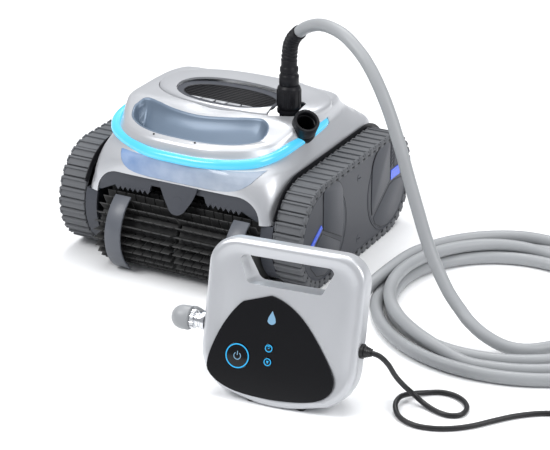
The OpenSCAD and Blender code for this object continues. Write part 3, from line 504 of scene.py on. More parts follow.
class Assembly:
    """A group of pieces that is drawn in one set of axes."""

    axes: Matrix

    def piece(self, name: str, bm: bmesh.types.BMesh, paint: Paint, body: str = "root", nodes: Sequence[str] = (),
              slot: str | None = None, smooth: float = 40, cutters: Sequence[bmesh.types.BMesh] = (),
              rim: float = 0.0, extra: Sequence[Paint] = ()) -> bpy.types.Object:
        """Makes a finished object from a mesh drawn in this assembly's axes.

        Args:
            name: The piece's name.
            bm: Its mesh, which is used up.
            paint: Its finish.
            body: The body that carries it.
            nodes: CAD nodes that it stands for.
            slot: A material slot name; not used.
            smooth: Edges sharper than this angle stay crisp.
            cutters: Closed meshes that are cut away.
            rim: Width of a live bevel on the sharp edges, in millimetres.
            extra: More finishes, for faces that name them.

        Returns:
            The object.
        """
        bm.transform(self.axes)
        mesh = bpy.data.meshes.new(name)
        bm.to_mesh(mesh)
        bm.free()
        made = bpy.data.objects.new(name, mesh)
        bpy.context.scene.collection.objects.link(made)
        if cutters:
            self.carve(made, cutters)
            mesh = made.data
        mesh.materials.clear()
        for each in (paint, *extra):
            mesh.materials.append(each.material())
        mesh.shade_smooth()
        mesh.set_sharp_from_angle(angle=math.radians(smooth))
        if rim:
            bevel = made.modifiers.new("rim", "BEVEL")
            bevel.width, bevel.segments, bevel.limit_method = rim * MM, 2, "ANGLE"
            bevel.angle_limit, bevel.harden_normals = math.radians(smooth), True
        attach(made, body)
        if nodes:
            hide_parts(*nodes)
        LOG.info("%s: %d faces on %s", name, len(mesh.polygons), body)
        return made

    def carve(self, made: bpy.types.Object, cutters: Sequence[bmesh.types.BMesh]) -> None:
        """Cuts meshes out of an object and keeps the result as its mesh."""
        tools = []
        for index, cutter in enumerate(cutters):
            cutter.transform(self.axes)
            bmesh.ops.recalc_face_normals(cutter, faces=cutter.faces)
            mesh = bpy.data.meshes.new("cutter")
            cutter.to_mesh(mesh)
            cutter.free()
            tool = bpy.data.objects.new(f"cutter_{index}", mesh)
            bpy.context.scene.collection.objects.link(tool)
            cut = made.modifiers.new("cut", "BOOLEAN")
            cut.operation, cut.solver, cut.object = "DIFFERENCE", "EXACT", tool
            tools.append(tool)
        bpy.context.view_layer.update()
        result = bpy.data.meshes.new_from_object(made.evaluated_get(bpy.context.evaluated_depsgraph_get()))
        made.modifiers.clear()
        made.data = result
        for tool in tools:
            bpy.data.meshes.remove(tool.data)


def paint_nodes(paint: Paint, *nodes: str) -> None:
    """Gives carried-over CAD nodes a finish."""
    for node in nodes:
        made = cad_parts[node]
        made.data.materials.clear()
        made.data.materials.append(paint.material())


@dataclass
class Studio:
    """Pale floor, soft lights and the camera."""

    azimuth: float = 28.24
    elevation: float = 23.9
    distance: float = 3107.0
    target: tuple = (142.4, -148.26, 100.0)
    lens: float = 144.0

    def build(self) -> None:
        """Makes the camera, the floor and the lights."""
        a, e = math.radians(self.azimuth), math.radians(self.elevation)
        back = Vector((math.sin(a) * math.cos(e), -math.cos(a) * math.cos(e), math.sin(e)))
        camera = bpy.data.cameras.new("camera")
        camera.lens, camera.sensor_width = self.lens, 36.0
        camera.clip_start, camera.clip_end = 0.05, 60
        seen = bpy.data.objects.new("camera", camera)
        seen.location = at(*self.target) + back * self.distance * MM
        seen.rotation_euler = back.to_track_quat("Z", "Y").to_euler()
        bpy.context.scene.collection.objects.link(seen)
        bpy.context.scene.camera = seen
        self.floor()
        self.lamp("key", (-900, -1500, 1900), (1000, 900), 34)
        self.lamp("side", (1900, -300, 1300), (900, 1200), 20)
        self.lamp("rear", (-300, 1250, 2300), (1500, 800), 30)
        self.lamp("top", (200, -100, 2600), (2400, 2400), 30)
        world = bpy.data.worlds.new("studio")
        world.use_nodes = True
        world.node_tree.nodes["Background"].inputs["Color"].default_value = (0.93, 0.95, 1.0, 1)
        world.node_tree.nodes["Background"].inputs["Strength"].default_value = 0.5
        bpy.context.scene.world = world

    def floor(self) -> None:
        """Lays the floor."""
        bm = bmesh.new()
        bmesh.ops.create_grid(bm, x_segments=2, y_segments=2, size=12)
        mesh = bpy.data.meshes.new("floor")
        bm.to_mesh(mesh)
        bm.free()
        made = bpy.data.objects.new("floor", mesh)
        bpy.context.scene.collection.objects.link(made)
        s = Surface("studio_floor")
        haze = s.noise(s.place(), 3.0, 3)
        s.set(Base_Color=s.blend(haze, (0.93, 0.935, 0.94, 1), (0.95, 0.955, 0.96, 1)), Roughness=0.55)
        mesh.materials.append(s.material)

    def lamp(self, name: str, place: tuple, size: tuple, power: float) -> None:
        """Hangs one soft light that looks at the robot."""
        light = bpy.data.lights.new(name, "AREA")
        light.shape, light.size, light.size_y, light.energy = "RECTANGLE", size[0] * MM, size[1] * MM, power
        made = bpy.data.objects.new(name, light)
        made.location = at(*place)
        made.rotation_euler = (at(*place) - at(120, -150, 80)).to_track_quat("Z", "Y").to_euler()
        bpy.context.scene.collection.objects.link(made)


@dataclass
class Hose(Assembly):
    """The grey hose, from the robot's neck through its coil to the control box."""

    diameter: float = 18.0
    arch: tuple = ((119, -31, 348), (130, -36, 357), (145, -42, 365), (162, -50, 371), (184, -60, 373),
                   (210, -71, 369), (236, -82, 356), (256, -91, 341), (276, -100, 319), (296, -109, 290),
                   (312, -116, 260), (326, -122, 230), (340, -128, 198), (356, -135, 163), (374, -143, 125),
                   (394, -152, 93), (418, -163, 64), (442, -173, 45), (458, -180, 35))
    landing: tuple = ((484, -186, 23), (514, -184, 13), (543, -171, 9.5))
    run: tuple = ((278, -108, 24), (275, -135, 14), (270, -165, 9.2), (262, -200, 9.2), (250, -236, 9.2),
                  (234, -270, 9.2), (216, -300, 11), (198, -326, 17), (182, -350, 29), (170, -372, 47),
                  (163, -391, 66), (161, -405.5, 78), (162.5, -419, 82.5))
    coil_y: float = -58.0
    left_edges: tuple = (300.0, 282.0)
    first_radius: float = 150.0
    step: float = 21.0
    points_a_turn: int = 26

    def coil(self) -> list[tuple]:
        """Winds the turns, each second one lying on its neighbour at the left."""
        out = []
        start, end = -0.09, 3.47
        count = round((end - start) * self.points_a_turn)
        for i in range(count + 1):
            t = start + (end - start) * i / count
            r = self.first_radius + self.step * t
            left = self.left_edges[0] + (self.left_edges[1] - self.left_edges[0]) * smoothstep(t, 1.6, 2.1)
            a = TURN * t
            away = self.step * (1 + math.cos(a))
            lift = math.sqrt(max(0.0, (self.diameter + 0.3) ** 2 - away ** 2)) if int(max(t, 0)) % 2 else 0.0
            out.append((left + r + r * math.cos(a), self.coil_y + r * math.sin(a), self.diameter / 2 + 0.2 + lift))
        return out

    def build(self) -> None:
        self.axes = Matrix.Identity(4)
        route = list(self.arch) + list(self.landing) + self.coil() + list(self.run)
        path = [at(*p) for p in catmull(route, 4)]
        length = sum((b - a).length for a, b in zip(path, path[1:]))
        r = self.diameter / 2 * MM
        made = self.piece("hose", tube(path, lambda s: r, 20), Paint.HOSE, "root",
                          ("hose_tube", "hose_run", "hose_coil"), "hose_vinyl", 60)
        self.length = round(length, 2)
        LOG.info("hose length %.3f m", length)
        self.made, self.path = made, path

    def declare(self, relief: bpy.types.Object) -> None:
        """Turns the hose's first point and its path into tuples and keeps none of them."""
        tuple(at(*self.arch[0]))
        [tuple(p) for p in self.path]


@dataclass
class PowerCord(Assembly):
    """The black mains cord with its loop, its neat coil and its plug."""

    diameter: float = 7.0
    route: tuple = ((419.5, -415.7, 86.7), (434, -413.5, 84), (443, -405, 70), (447, -391, 48), (452, -375, 28),
                    (460, -366, 15), (472, -366, 7), (486, -371, 4), (502, -377, 3.5), (518, -378, 3.5),
                    (530, -369, 3.5), (530, -351, 3.5), (519, -335, 3.5), (502, -326, 3.5), (484, -326, 3.5),
                    (468, -335, 3.5), (454, -351, 3.5), (446, -372, 3.5), (449, -394, 3.5), (464, -413, 3.5),
                    (489, -422, 3.5), (514, -418, 3.5), (536, -406, 3.5), (555, -388, 3.5), (572, -365, 3.5),
                    (590, -342, 3.5), (612, -322, 3.5), (638, -305, 3.5))
    lead: tuple = ((748, -340, 9.5), (749, -362, 11), (750, -382, 16), (750, -398, 19))
    coil_at: tuple = (694.0, -316.0)
    radii: tuple = (53.3, 31.5)
    layer_turns: int = 3
    points_a_turn: int = 24
    plug_at: tuple = (750.0, -457.0, 0.0)

    def coil(self) -> list[tuple]:
        """Winds three turns inwards on the floor and three outwards on top of them."""
        out = []
        start, end = 0.40, 0.0
        total = 2 * self.layer_turns
        count = total * self.points_a_turn
        for i in range(count + 1):
            t = i / self.points_a_turn
            share = i / count
            a = TURN * (start - (t + (start - end)) * 1.0 + (start - end)) - TURN * 0.4 * share
            inward = 1 - abs(2 * share - 1)
            r = self.radii[0] + (self.radii[1] - self.radii[0]) * inward
            z = self.diameter * (0.5 + smoothstep(share, 0.47, 0.53))
            out.append((self.coil_at[0] + r * math.cos(a), self.coil_at[1] + r * math.sin(a), z))
        return out

    def build(self) -> None:
        """Makes the cord and its plug."""
        self.axes = Matrix.Identity(4)
        raised = [(x, y, max(z, self.diameter / 2 + 0.05) + self.hump(x, y, k)) for k, (x, y, z) in
                  enumerate(self.route)]
        path = [at(*p) for p in catmull(raised + self.coil() + list(self.lead), 4)]
        r = self.diameter / 2 * MM
        made = self.piece("mains_lead", tube(path, lambda s: r, 12), Paint.CORD, "root",
                          ("power_cord", "power_cord_coil"), "cord_rubber", 60)
        self.axes = robot_matrix()
        plug = self.plug()
        tuple(at(*self.route[0]))

    def hump(self, x: float, y: float, k: int) -> float:
        """Lifts the loop's last part where it passes over its first."""
        return 7.4 * max(0.0, 1 - math.hypot(x - 452, y + 378) / 40) if k > 12 else 0.0

    def plug(self) -> bpy.types.Object:
        """Makes a round two-pin plug with a ribbed grip and a sleeve."""
        grip = turned([(0.4, 0), (15, 0), (18, 1.5), (19, 5), (19, 12), (17.5, 17), (13, 27), (10.5, 33), (7, 36),
                       (6, 38), (6, 58.5), (0.4, 58.5)], 40)
        for v in grip.verts:
            a = math.atan2(v.co.y, v.co.x)
            if 15 < v.co.z < 35:
                v.co.xy *= 1 - 0.05 * (0.5 + 0.5 * math.cos(12 * a))
        pins = [moved(turned([(0.2, -20), (1.6, -20), (2.4, -18.5), (2.4, 1), (0.2, 1)], 20),
                      Matrix.Translation((s * 9.5, 0, 0))) for s in (-1, 1)]
        whole = joined([grip, *pins])
        for f in whole.faces:
            f.material_index = 1 if f.calc_center_median().z < -0.1 else 0
        place = Matrix.Translation((self.plug_at[0], self.plug_at[1], 19)) @ Matrix.Rotation(-math.pi / 2, 4, "X")
        return self.piece("two_pin_plug", moved(whole, place), Paint.CORD, "root", ("mains_plug",), "cord_rubber",
                          40, extra=(Paint.STEEL,))


@dataclass
class Body(Assembly):
    """The silver upper shell with its light, pane, carrying slot and lid."""

    levels: tuple = (
        # height, half width, front, back, front power, back power, rise with the deck
        (109, 154.5, -181, 173, 14, 10, 0), (128, 154.5, -181, 173, 9, 10, 0), (146, 154.4, -181, 172, 6.5, 9, 0),
        (157, 154, -180.8, 170, 5.2, 8, 0), (163, 153.4, -180.4, 167, 4.6, 7, 0), (168, 152.4, -179.6, 162, 4.1, 6, 0),
        (173, 151, -178.2, 157, 3.7, 5.5, 0), (177, 149.5, -176.4, 151, 3.3, 5, 0.03),
        (184, 146, -171.5, 140, 2.9, 5, 0.12), (190, 142, -169, 130, 2.7, 5, 0.3), (196, 138, -167.6, 120, 2.6, 5, 0.55),
        (200, 135.5, -166, 112, 2.55, 5, 0.78), (203, 133, -163.4, 105, 2.5, 5, 0.92),
        (204.6, 130, -159, 99, 2.45, 4.5, 0.99), (205, 122, -150, 88, 2.4, 4, 1.03), (205, 90, -100, 60, 2.4, 3, 1.05),
        (205, 30, -60, 30, 2.2, 2.4, 1.05))
    middle_y: float = -40.0
    opening: tuple = ((-124, -86), (-117, -106), (-100, -125), (-78, -140), (-50, -149.5), (-17, -153), (20, -152.5),
                      (50, -147), (75, -136), (92, -119), (99, -101), (97, -82), (86, -70), (70, -67), (30, -76),
                      (-17, -82.5), (-61, -79), (-92, -71.5), (-110, -68), (-120, -73))
    light_route: tuple = ((133, 24, 198), (135, 9, 197), (136.4, -16, 196.5), (136.4, -44, 196), (134.8, -76, 195),
                          (131, -104, 192.5), (121, -131, 189), (104, -151, 186.5), (72, -166, 184.4),
                          (36, -174, 183.3), (-5, -175, 183), (-48, -171.5, 183), (-91, -155, 184.6),
                          (-125, -133, 187.6), (-139, -115, 191), (-145.5, -98, 194), (-147.5, -80, 196.5),
                          (-147, -62, 198), (-144.5, -46, 199))
    pane_edges: tuple = ((149.0, -42, 58), (149.6, -56, 70), (151, -68, 84), (154, -79, 96), (159, -87, 107),
                         (165, -92.5, 115), (172, -96.5, 121), (178, -99, 127))
    lid_at: tuple = (6.0, 12.0)
    lid_half: tuple = (136.0, 72.0)

    def outline(self, level: list[float], u: float, z: float) -> Vector:
        """Gives the shell's point in direction u on one level."""
        half, front, back, power, back_power, rise = level
        a = TURN * u
        x, y = math.cos(a), math.sin(a)
        p = power if y < 0 else back_power
        px = half * math.copysign(abs(x) ** (2 / p), x)
        wider = 0.075 * smoothstep(-abs(y) * (1 if y < 0 else 0), -0.55, -0.05)
        px = px * (1 + wider * min(rise, 1)) - 6 * min(3 * rise, 1)
        reach = (front - self.middle_y) if y < 0 else (back - self.middle_y)
        py = self.middle_y + reach * abs(y) ** (2 / p)
        lift = 16.5 * smoothstep(py, -112, -58) - 9 * smoothstep(py, 70, 112) * (1 if rise > 0.9 else 0.6)
        return Vector((px, py, z + rise * lift))

    def shell_form(self, inset: float) -> bmesh.types.BMesh:
        """Lofts the shell's outer form, or the same form shrunk by a wall."""
        n = len(self.levels) - 1

        def shape(u: float, v: float) -> Vector:
            """Gives a point; the first row closes the bottom."""
            row = v * (n * 3 + 1) - 1
            k = min(max(row / 3, 0), n)
            low = self.levels[int(k)]
            high = self.levels[min(int(k) + 1, n)]
            t = k - int(k)
            level = [p + (q - p) * t for p, q in zip(low, high)]
            p = self.outline(level[1:], u, level[0])
            if inset:
                c = Vector((0, self.middle_y, 0))
                flat = Vector((p.x, p.y, 0)) - c
                flat *= max(0.0, 1 - inset / max(flat.length, 1))
                p = Vector((c.x + flat.x, c.y + flat.y, p.z - inset * smoothstep(k, 6, n - 2)))
            if row < -0.5:
                return Vector((0, self.middle_y, 109 - (1 if inset else 0)))
            if k >= n:
                return Vector((0, self.middle_y + 20, p.z if row > n * 3 - 0.5 else p.z))
            return p

        return skin(shape, 144, n * 3 + 1)

    def arch(self, grow: float) -> list[tuple]:
        """Gives the opening over the brush, of X and Z."""
        w, h, r = 133.5 + grow, 146 + grow, 36 + grow
        return ([(-w, 60)] + arc((-w + r, h - r), r, 180, 90, 10) + arc((w - r, h - r), r, 90, 0, 10) + [(w, 60)])

    def front_y(self, x: float, z: float) -> float:
        """Gives how far forward the shell reaches at a width and height."""
        half, front, _, power, _, _ = rows(self.levels, z)
        return self.middle_y + (front - self.middle_y) * max(0.0, 1 - abs(x / half) ** power) ** (1 / power)

    def light_path(self) -> list[Vector]:
        """Gives the centreline of the light tube, from the nozzle round the front to the left."""
        return catmull(self.light_route, 6)

    def rim_line(self, inset: float) -> list[tuple]:
        """Gives the carrying opening's outline, moved inwards."""
        points = [(p.x, p.y) for p in catmull([(*q, 0) for q in (*self.opening[-2:], *self.opening, *self.opening[:2])],
                                              5)[10:-11]]
        out = []
        for i, (x, y) in enumerate(points):
            a, b = points[i - 1], points[(i + 1) % len(points)]
            side = Vector((-(b[1] - a[1]), b[0] - a[0])).normalized()
            out.append((x + side.x * inset, y + side.y * inset))
        return out

    def deck_lift(self, y: float) -> float:
        """Gives how far the deck rises towards the lid."""
        return 16.5 * smoothstep(y, -112, -58)

    def build(self) -> None:
        """Makes the shell and everything set into it."""
        self.axes = robot_matrix()
        jet = JetNozzle()
        cuts = [self.shell_form(3.0), plate(self.arch(0), -240, -120, "Y"), plate(self.arch(0), 110, 240, "Y"),
                plate(self.rim_line(0), 150, 240), tube(self.light_path(), lambda s: 7.6, 20),
                self.pane_form(0.6, 8), plate(oval(self.lid_at, 137, 73, 2.4), 216, 260),
                plate(oval(self.lid_at, 112, 52, 2.4), 150, 260),
                moved(turned([(0.2, 160), (14.3, 160), (14.3, 260), (0.2, 260)]), Matrix.Translation((97, -21, 0))),
                moved(turned([(0.2, -40), (16.4, -40), (16.4, 60), (0.2, 60)]), jet.place())]
        self.piece("silver_shell", self.shell_form(0), Paint.SILVER, "root", ("upper_shell",), "silver_shell", 32,
                   cuts, 0.5)
        ends = 0.035
        self.piece("light_tube", tube(self.light_path(), lambda s: 7.3 * math.sqrt(max(0.0, 1 - max(
            0.0, 1 - min(s, 1 - s) / ends) ** 2)), 24), Paint.LIGHT, "root", ("light_bar",), "glow_tube", 60,
                   [moved(turned([(0.2, -40), (19.4, -40), (19.4, 60), (0.2, 60)]), jet.place())])
        self.piece("frosted_window", self.pane_form(0, 2.2), Paint.PANE, "root", ("front_window",),
                   "frosted_window", 50)
        self.tray()
        self.lid()

    def pane_form(self, grow: float, depth: float) -> bmesh.types.BMesh:
        """Bends the front pane to the shell's face."""

        def shape(u: float, v: float) -> Vector:
            """Gives a point of the pane's front."""
            z = 149.0 - grow + (178 - 149.0 + grow) * v
            left, right = rows(self.pane_edges, z)
            x = left - grow + (right - left + 2 * grow) * u
            return Vector((x, self.front_y(x, min(z, 178)) - 0.25, z))

        bm = skin(shape, 48, 24)
        for f in bm.faces:
            if f.normal.y > 0:
                f.normal_flip()
        geom = bmesh.ops.extrude_face_region(bm, geom=bm.faces[:], use_keep_orig=True)["geom"]
        bmesh.ops.translate(bm, verts=[g for g in geom if isinstance(g, bmesh.types.BMVert)], vec=(0, depth, 0))
        bmesh.ops.recalc_face_normals(bm, faces=bm.faces)
        return bm

    def tray(self) -> None:
        """Lines the carrying opening in a blue-grey that is painted shade: a rounded lip, a back wall that slopes
        forward and a dark plate at the bottom that is painted shade.
        """
        steps = [(1.2, 203.6, 0), (0.6, 205.2, 0), (-0.6, 205.7, 0), (-2.0, 205.2, 0), (-3.2, 203.2, 0.0),
                 (-4.0, 198, 0.04), (-4.6, 190, 0.22), (-5.0, 183, 0.5), (-5.2, 178, 0.78), (-5.4, 172, 0.96),
                 (-5.6, 164, 1.0)]
        lines = [self.rim_line(-grow) for grow, _, _ in steps]
        count = len(lines[0])

        def front(x: float) -> float:
            """Gives the opening's front edge at a width."""
            best = [y for px, y in self.rim_line(6) if abs(px - x) < 9]
            return min(best) if best else -110.0

        def shape(u: float, v: float) -> Vector:
            """Gives a point of the lining."""
            k = round(v * (len(steps) - 1))
            x, y = lines[k][round(u * count) % count]
            _, z, slide = steps[k]
            x -= (x + 12) * 0.12 * slide
            target = min(y, front(x) + 15)
            return Vector((x, y + (target - y) * slide, z + self.deck_lift(y) * (1 if k < 5 else 1 - slide)))

        # The lining's dark blue-grey is painted shade of the recess.
        self.piece("slot_lining", skin(shape, count, len(steps) - 1), Paint.SEAT, "root", ("handle_tray",),
                   "pale_plastic", 60)
        # A dark plate at the bottom of the slot, standing for no part, is painted shade.
        floor = [shape(i / count, 0.93) for i in range(count)]
        self.piece("slot_painted_shade", plate([(p.x, p.y) for p in floor], 164.0, 167.0), Paint.SHADE, "root", (),
                   "black_plastic")
        studs = [moved(turned([(0.1, 0), (1.5, 0), (1.5, 0.8), (0.8, 1.5), (0.1, 1.6)], 16),
                       Matrix.Translation((x, y, 204.6))) for x, y in ((-50, -156), (19, -158))]
        self.piece("deck_studs", joined(studs), Paint.BLACK, "root", (), "black_plastic")

    def lid(self) -> None:
        """Makes the domed lid with its dished grille."""
        cx, cy = self.lid_at
        hw, hl = self.lid_half
        levels = [(-6, 1.0), (-2, 1.0), (0.5, 0.996), (2.2, 0.985), (3.4, 0.965), (4.6, 0.93), (6.4, 0.86),
                  (8.0, 0.76), (9.2, 0.62), (9.8, 0.4), (10, 0.02)]

        def form(inset: float) -> Place:
            """Gives the lid's outer surface, or the hollow under it."""

            def shape(u: float, v: float) -> Vector:
                """Gives a point of the dome; the first row closes the bottom."""
                row = round(v * len(levels)) - 1
                z, share = levels[max(row, 0)]
                size = 0.0 if row < 0 else share
                a = TURN * u
                x, y = math.cos(a), math.sin(a)
                px = (hw * size - inset) * math.copysign(abs(x) ** (2 / 2.4), x) if size else 0
                py = (hl * size - inset) * math.copysign(abs(y) ** (2 / 2.4), y) if size else 0
                return Vector((cx + px, cy + 8 * (1 - share) + py, 223 + z - (inset if z > 0 else inset * 2)))

            return shape

        grille = (-2.0, -19.0)
        slot = [plate(round_box(39, 117, 6, (97, -60)), 200, 260)]
        cuts = [skin(form(3.0), 96, len(levels)), plate(oval(grille, 75, 34.5, 2.3), 210, 260),
                plate(oval((-2, -14), 88, 44, 2.3), 226.6, 260), *slot]
        lid = self.piece("domed_lid", skin(form(0.0), 96, len(levels)), Paint.SILVER, "lid", ("lid",),
                         "silver_shell", 32, cuts, 0.5)
        arms = [block((24, 14, 6), (cx + x, 86, 217.4), 1.5) for x in (-40, 40)]
        arms += [moved(turned([(2.55, -12), (5, -12), (5, 12), (2.55, 12)], 32),
                       Matrix.Translation((cx + x, 94, 215)) @ Matrix.Rotation(math.pi / 2, 4, "Y")) for x in (-40, 40)]
        self.piece("lid_arms", joined(arms), Paint.SILVER, "lid", (), "silver_shell")
        dish = plate(oval((-2, -14), 87.4, 43.4, 2.3), 225.2, 227.0)
        dish_cut = [plate(oval(grille, 74.2, 33.8, 2.3), 220, 240), plate(round_box(39, 117, 6, (97, -60)), 200, 260)]
        self.piece("lid_dish", dish, Paint.GREY, "lid", (), "black_plastic", 40, dish_cut, 0.4)
        slats = []
        for i in range(9):
            y = grille[1] - 19.5 + i * 6.0
            reach = 73 * max(0.05, 1 - abs((y - grille[1]) / 33.5) ** 2.3) ** (1 / 2.3)
            slats.append(moved(block((2 * reach, 3.0, 4.4), (grille[0], 0, 0), 1.0),
                               Matrix.Translation((0, y, 224.4)) @ Matrix.Rotation(math.radians(-18), 4, "X")))
        slats += [block((3, 62, 3), (grille[0] + x, grille[1], 222.4), 0.8) for x in (-36, 0, 36)]
        rim = tube([Vector((x, y, 225.6)) for x, y in oval(grille, 74, 33.6, 2.3, 96)] +
                   [Vector((*oval(grille, 74, 33.6, 2.3, 96)[0], 225.6))], lambda s: 1.5, 8)
        # Painted shade: a black plate under the slats stands in for the shade seen through the grille's gaps.
        grille_shade_plate = plate(oval(grille, 73, 33, 2.3), 219.0, 220.4)
        self.piece("grille_slats", joined([*slats, rim, grille_shade_plate]), Paint.BLACK, "lid", ("outlet_grille",),
                   "black_plastic")
        bow = [q for q in oval(grille, 72.4, 32.4, 2.3, 96) if q[1] < grille[1] - 23]
        bow.sort()
        tiles = []
        for i in range(5):
            x0, x1 = bow[0][0] + (bow[-1][0] - bow[0][0]) * i / 5, bow[0][0] + (bow[-1][0] - bow[0][0]) * (i + 1) / 5
            edge = [q for q in bow if x0 + 0.5 < q[0] < x1 - 0.5]
            tiles.append(soften(plate([(x0 + 0.5, grille[1] - 22.6), *edge, (x1 - 0.5, grille[1] - 22.6)], 223.4,
                                      225.9), 0.4, 2, 50))
        self.piece("grille_tiles", joined(tiles), Paint.SILVER, "lid", (), "silver_shell")
        return lid


class JetNozzle(Assembly):
    """The open black spray nozzle on the right shoulder."""

    def place(self) -> Matrix:
        """Gives the nozzle's place and tilt in robot millimetres."""
        tilt = Matrix.Rotation(math.radians(32), 4, "Y") @ Matrix.Rotation(math.radians(25), 4, "X")
        return Matrix.Translation((131, -46, 204)) @ tilt

    def build(self) -> None:
        """Makes the nozzle with its collar and inner lip."""
        self.axes = robot_matrix() @ self.place()
        wall = [(14.1, -20), (14.1, 20), (15.2, 21), (15.4, 24), (14.3, 25), (14.2, 30.5), (15, 31.6), (17.6, 31.9),
                (18.8, 30.6), (18.9, 12), (18.4, 10.4), (18.9, 9), (18.9, -3), (18, -6), (15.9, -7.5), (15.9, -30),
                (0.3, -30), (0.3, -24), (14.1, -24)]
        self.piece("spray_nozzle", turned(wall, 64), Paint.BLACK, "root", ("jet_nozzle",), "black_plastic", 30)
        collar = turned([(18.95, 1), (19.7, 1.2), (19.9, 2.4), (19.6, 3.6), (18.95, 3.8)], 64)
        self.piece("nozzle_collar", collar, Paint.BLACK, "root", (), "black_plastic", 40)


@dataclass
class Neck(Assembly):
    """Socket, union nut and ribbed strain relief of the hose on the robot."""

    at_xy: tuple = (97.0, -21.0)
    relief: tuple = ((97, -21, 298), (98, -21, 312), (101, -23, 325), (108, -26, 337), (119, -31, 348))

    def build(self) -> bpy.types.Object:
        """Makes the fittings and gives the strain relief."""
        self.axes = robot_matrix() @ Matrix.Translation((*self.at_xy, 0))
        self.piece("neck_socket", turned([(10, 201), (14, 201), (14, 221), (17.4, 221), (17.4, 225), (14, 225.4),
                                          (14, 247), (10, 247)], 48), Paint.BLACK, "root", ("hose_socket",),
                   "black_plastic", 30)
        nut = turned([(14.06, 228), (16.4, 228), (17, 229), (17, 257), (16, 259.4), (13.5, 261.9), (10.06, 261.9),
                      (10.06, 256.9), (14.06, 256.9)], 96)
        ribs = [moved(block((3.0, 5.4, 25), (16.4, 0, 243), 1.2), Matrix.Rotation(TURN * i / 12, 4, "Z"))
                for i in range(12)]
        self.piece("grip_nut", joined([nut, *ribs]), Paint.BLACK, "nut", ("union_nut",), "black_plastic", 40)
        prof = [(0.3, 247.1), (13.4, 247.1), (13.4, 252), (9.9, 252), (9.9, 262.5), (13.4, 262.5), (14.4, 264),
                (14.4, 276), (13.2, 278), (12.6, 279), (12.6, 281.5), (13.4, 282.5), (13.4, 288), (12, 290),
                (11.5, 291), (11.5, 300), (0.3, 300)]
        self.axes = robot_matrix()
        neck = moved(turned(prof, 48), Matrix.Translation((*self.at_xy, 0)))
        path = catmull(self.relief, 14)
        ridges = 9

        def radius(s: float) -> float:
            """Gives the ribbed and tapering radius."""
            return 11.2 - 1.3 * s + 0.75 * (1 if (s * ridges) % 1 < 0.55 else -0.4)

        sleeve = tube(path, radius, 28)
        whole = joined([neck, sleeve])
        return self.piece("strain_relief", whole, Paint.BLACK, "root", ("hose_tail",), "cord_rubber", 35)


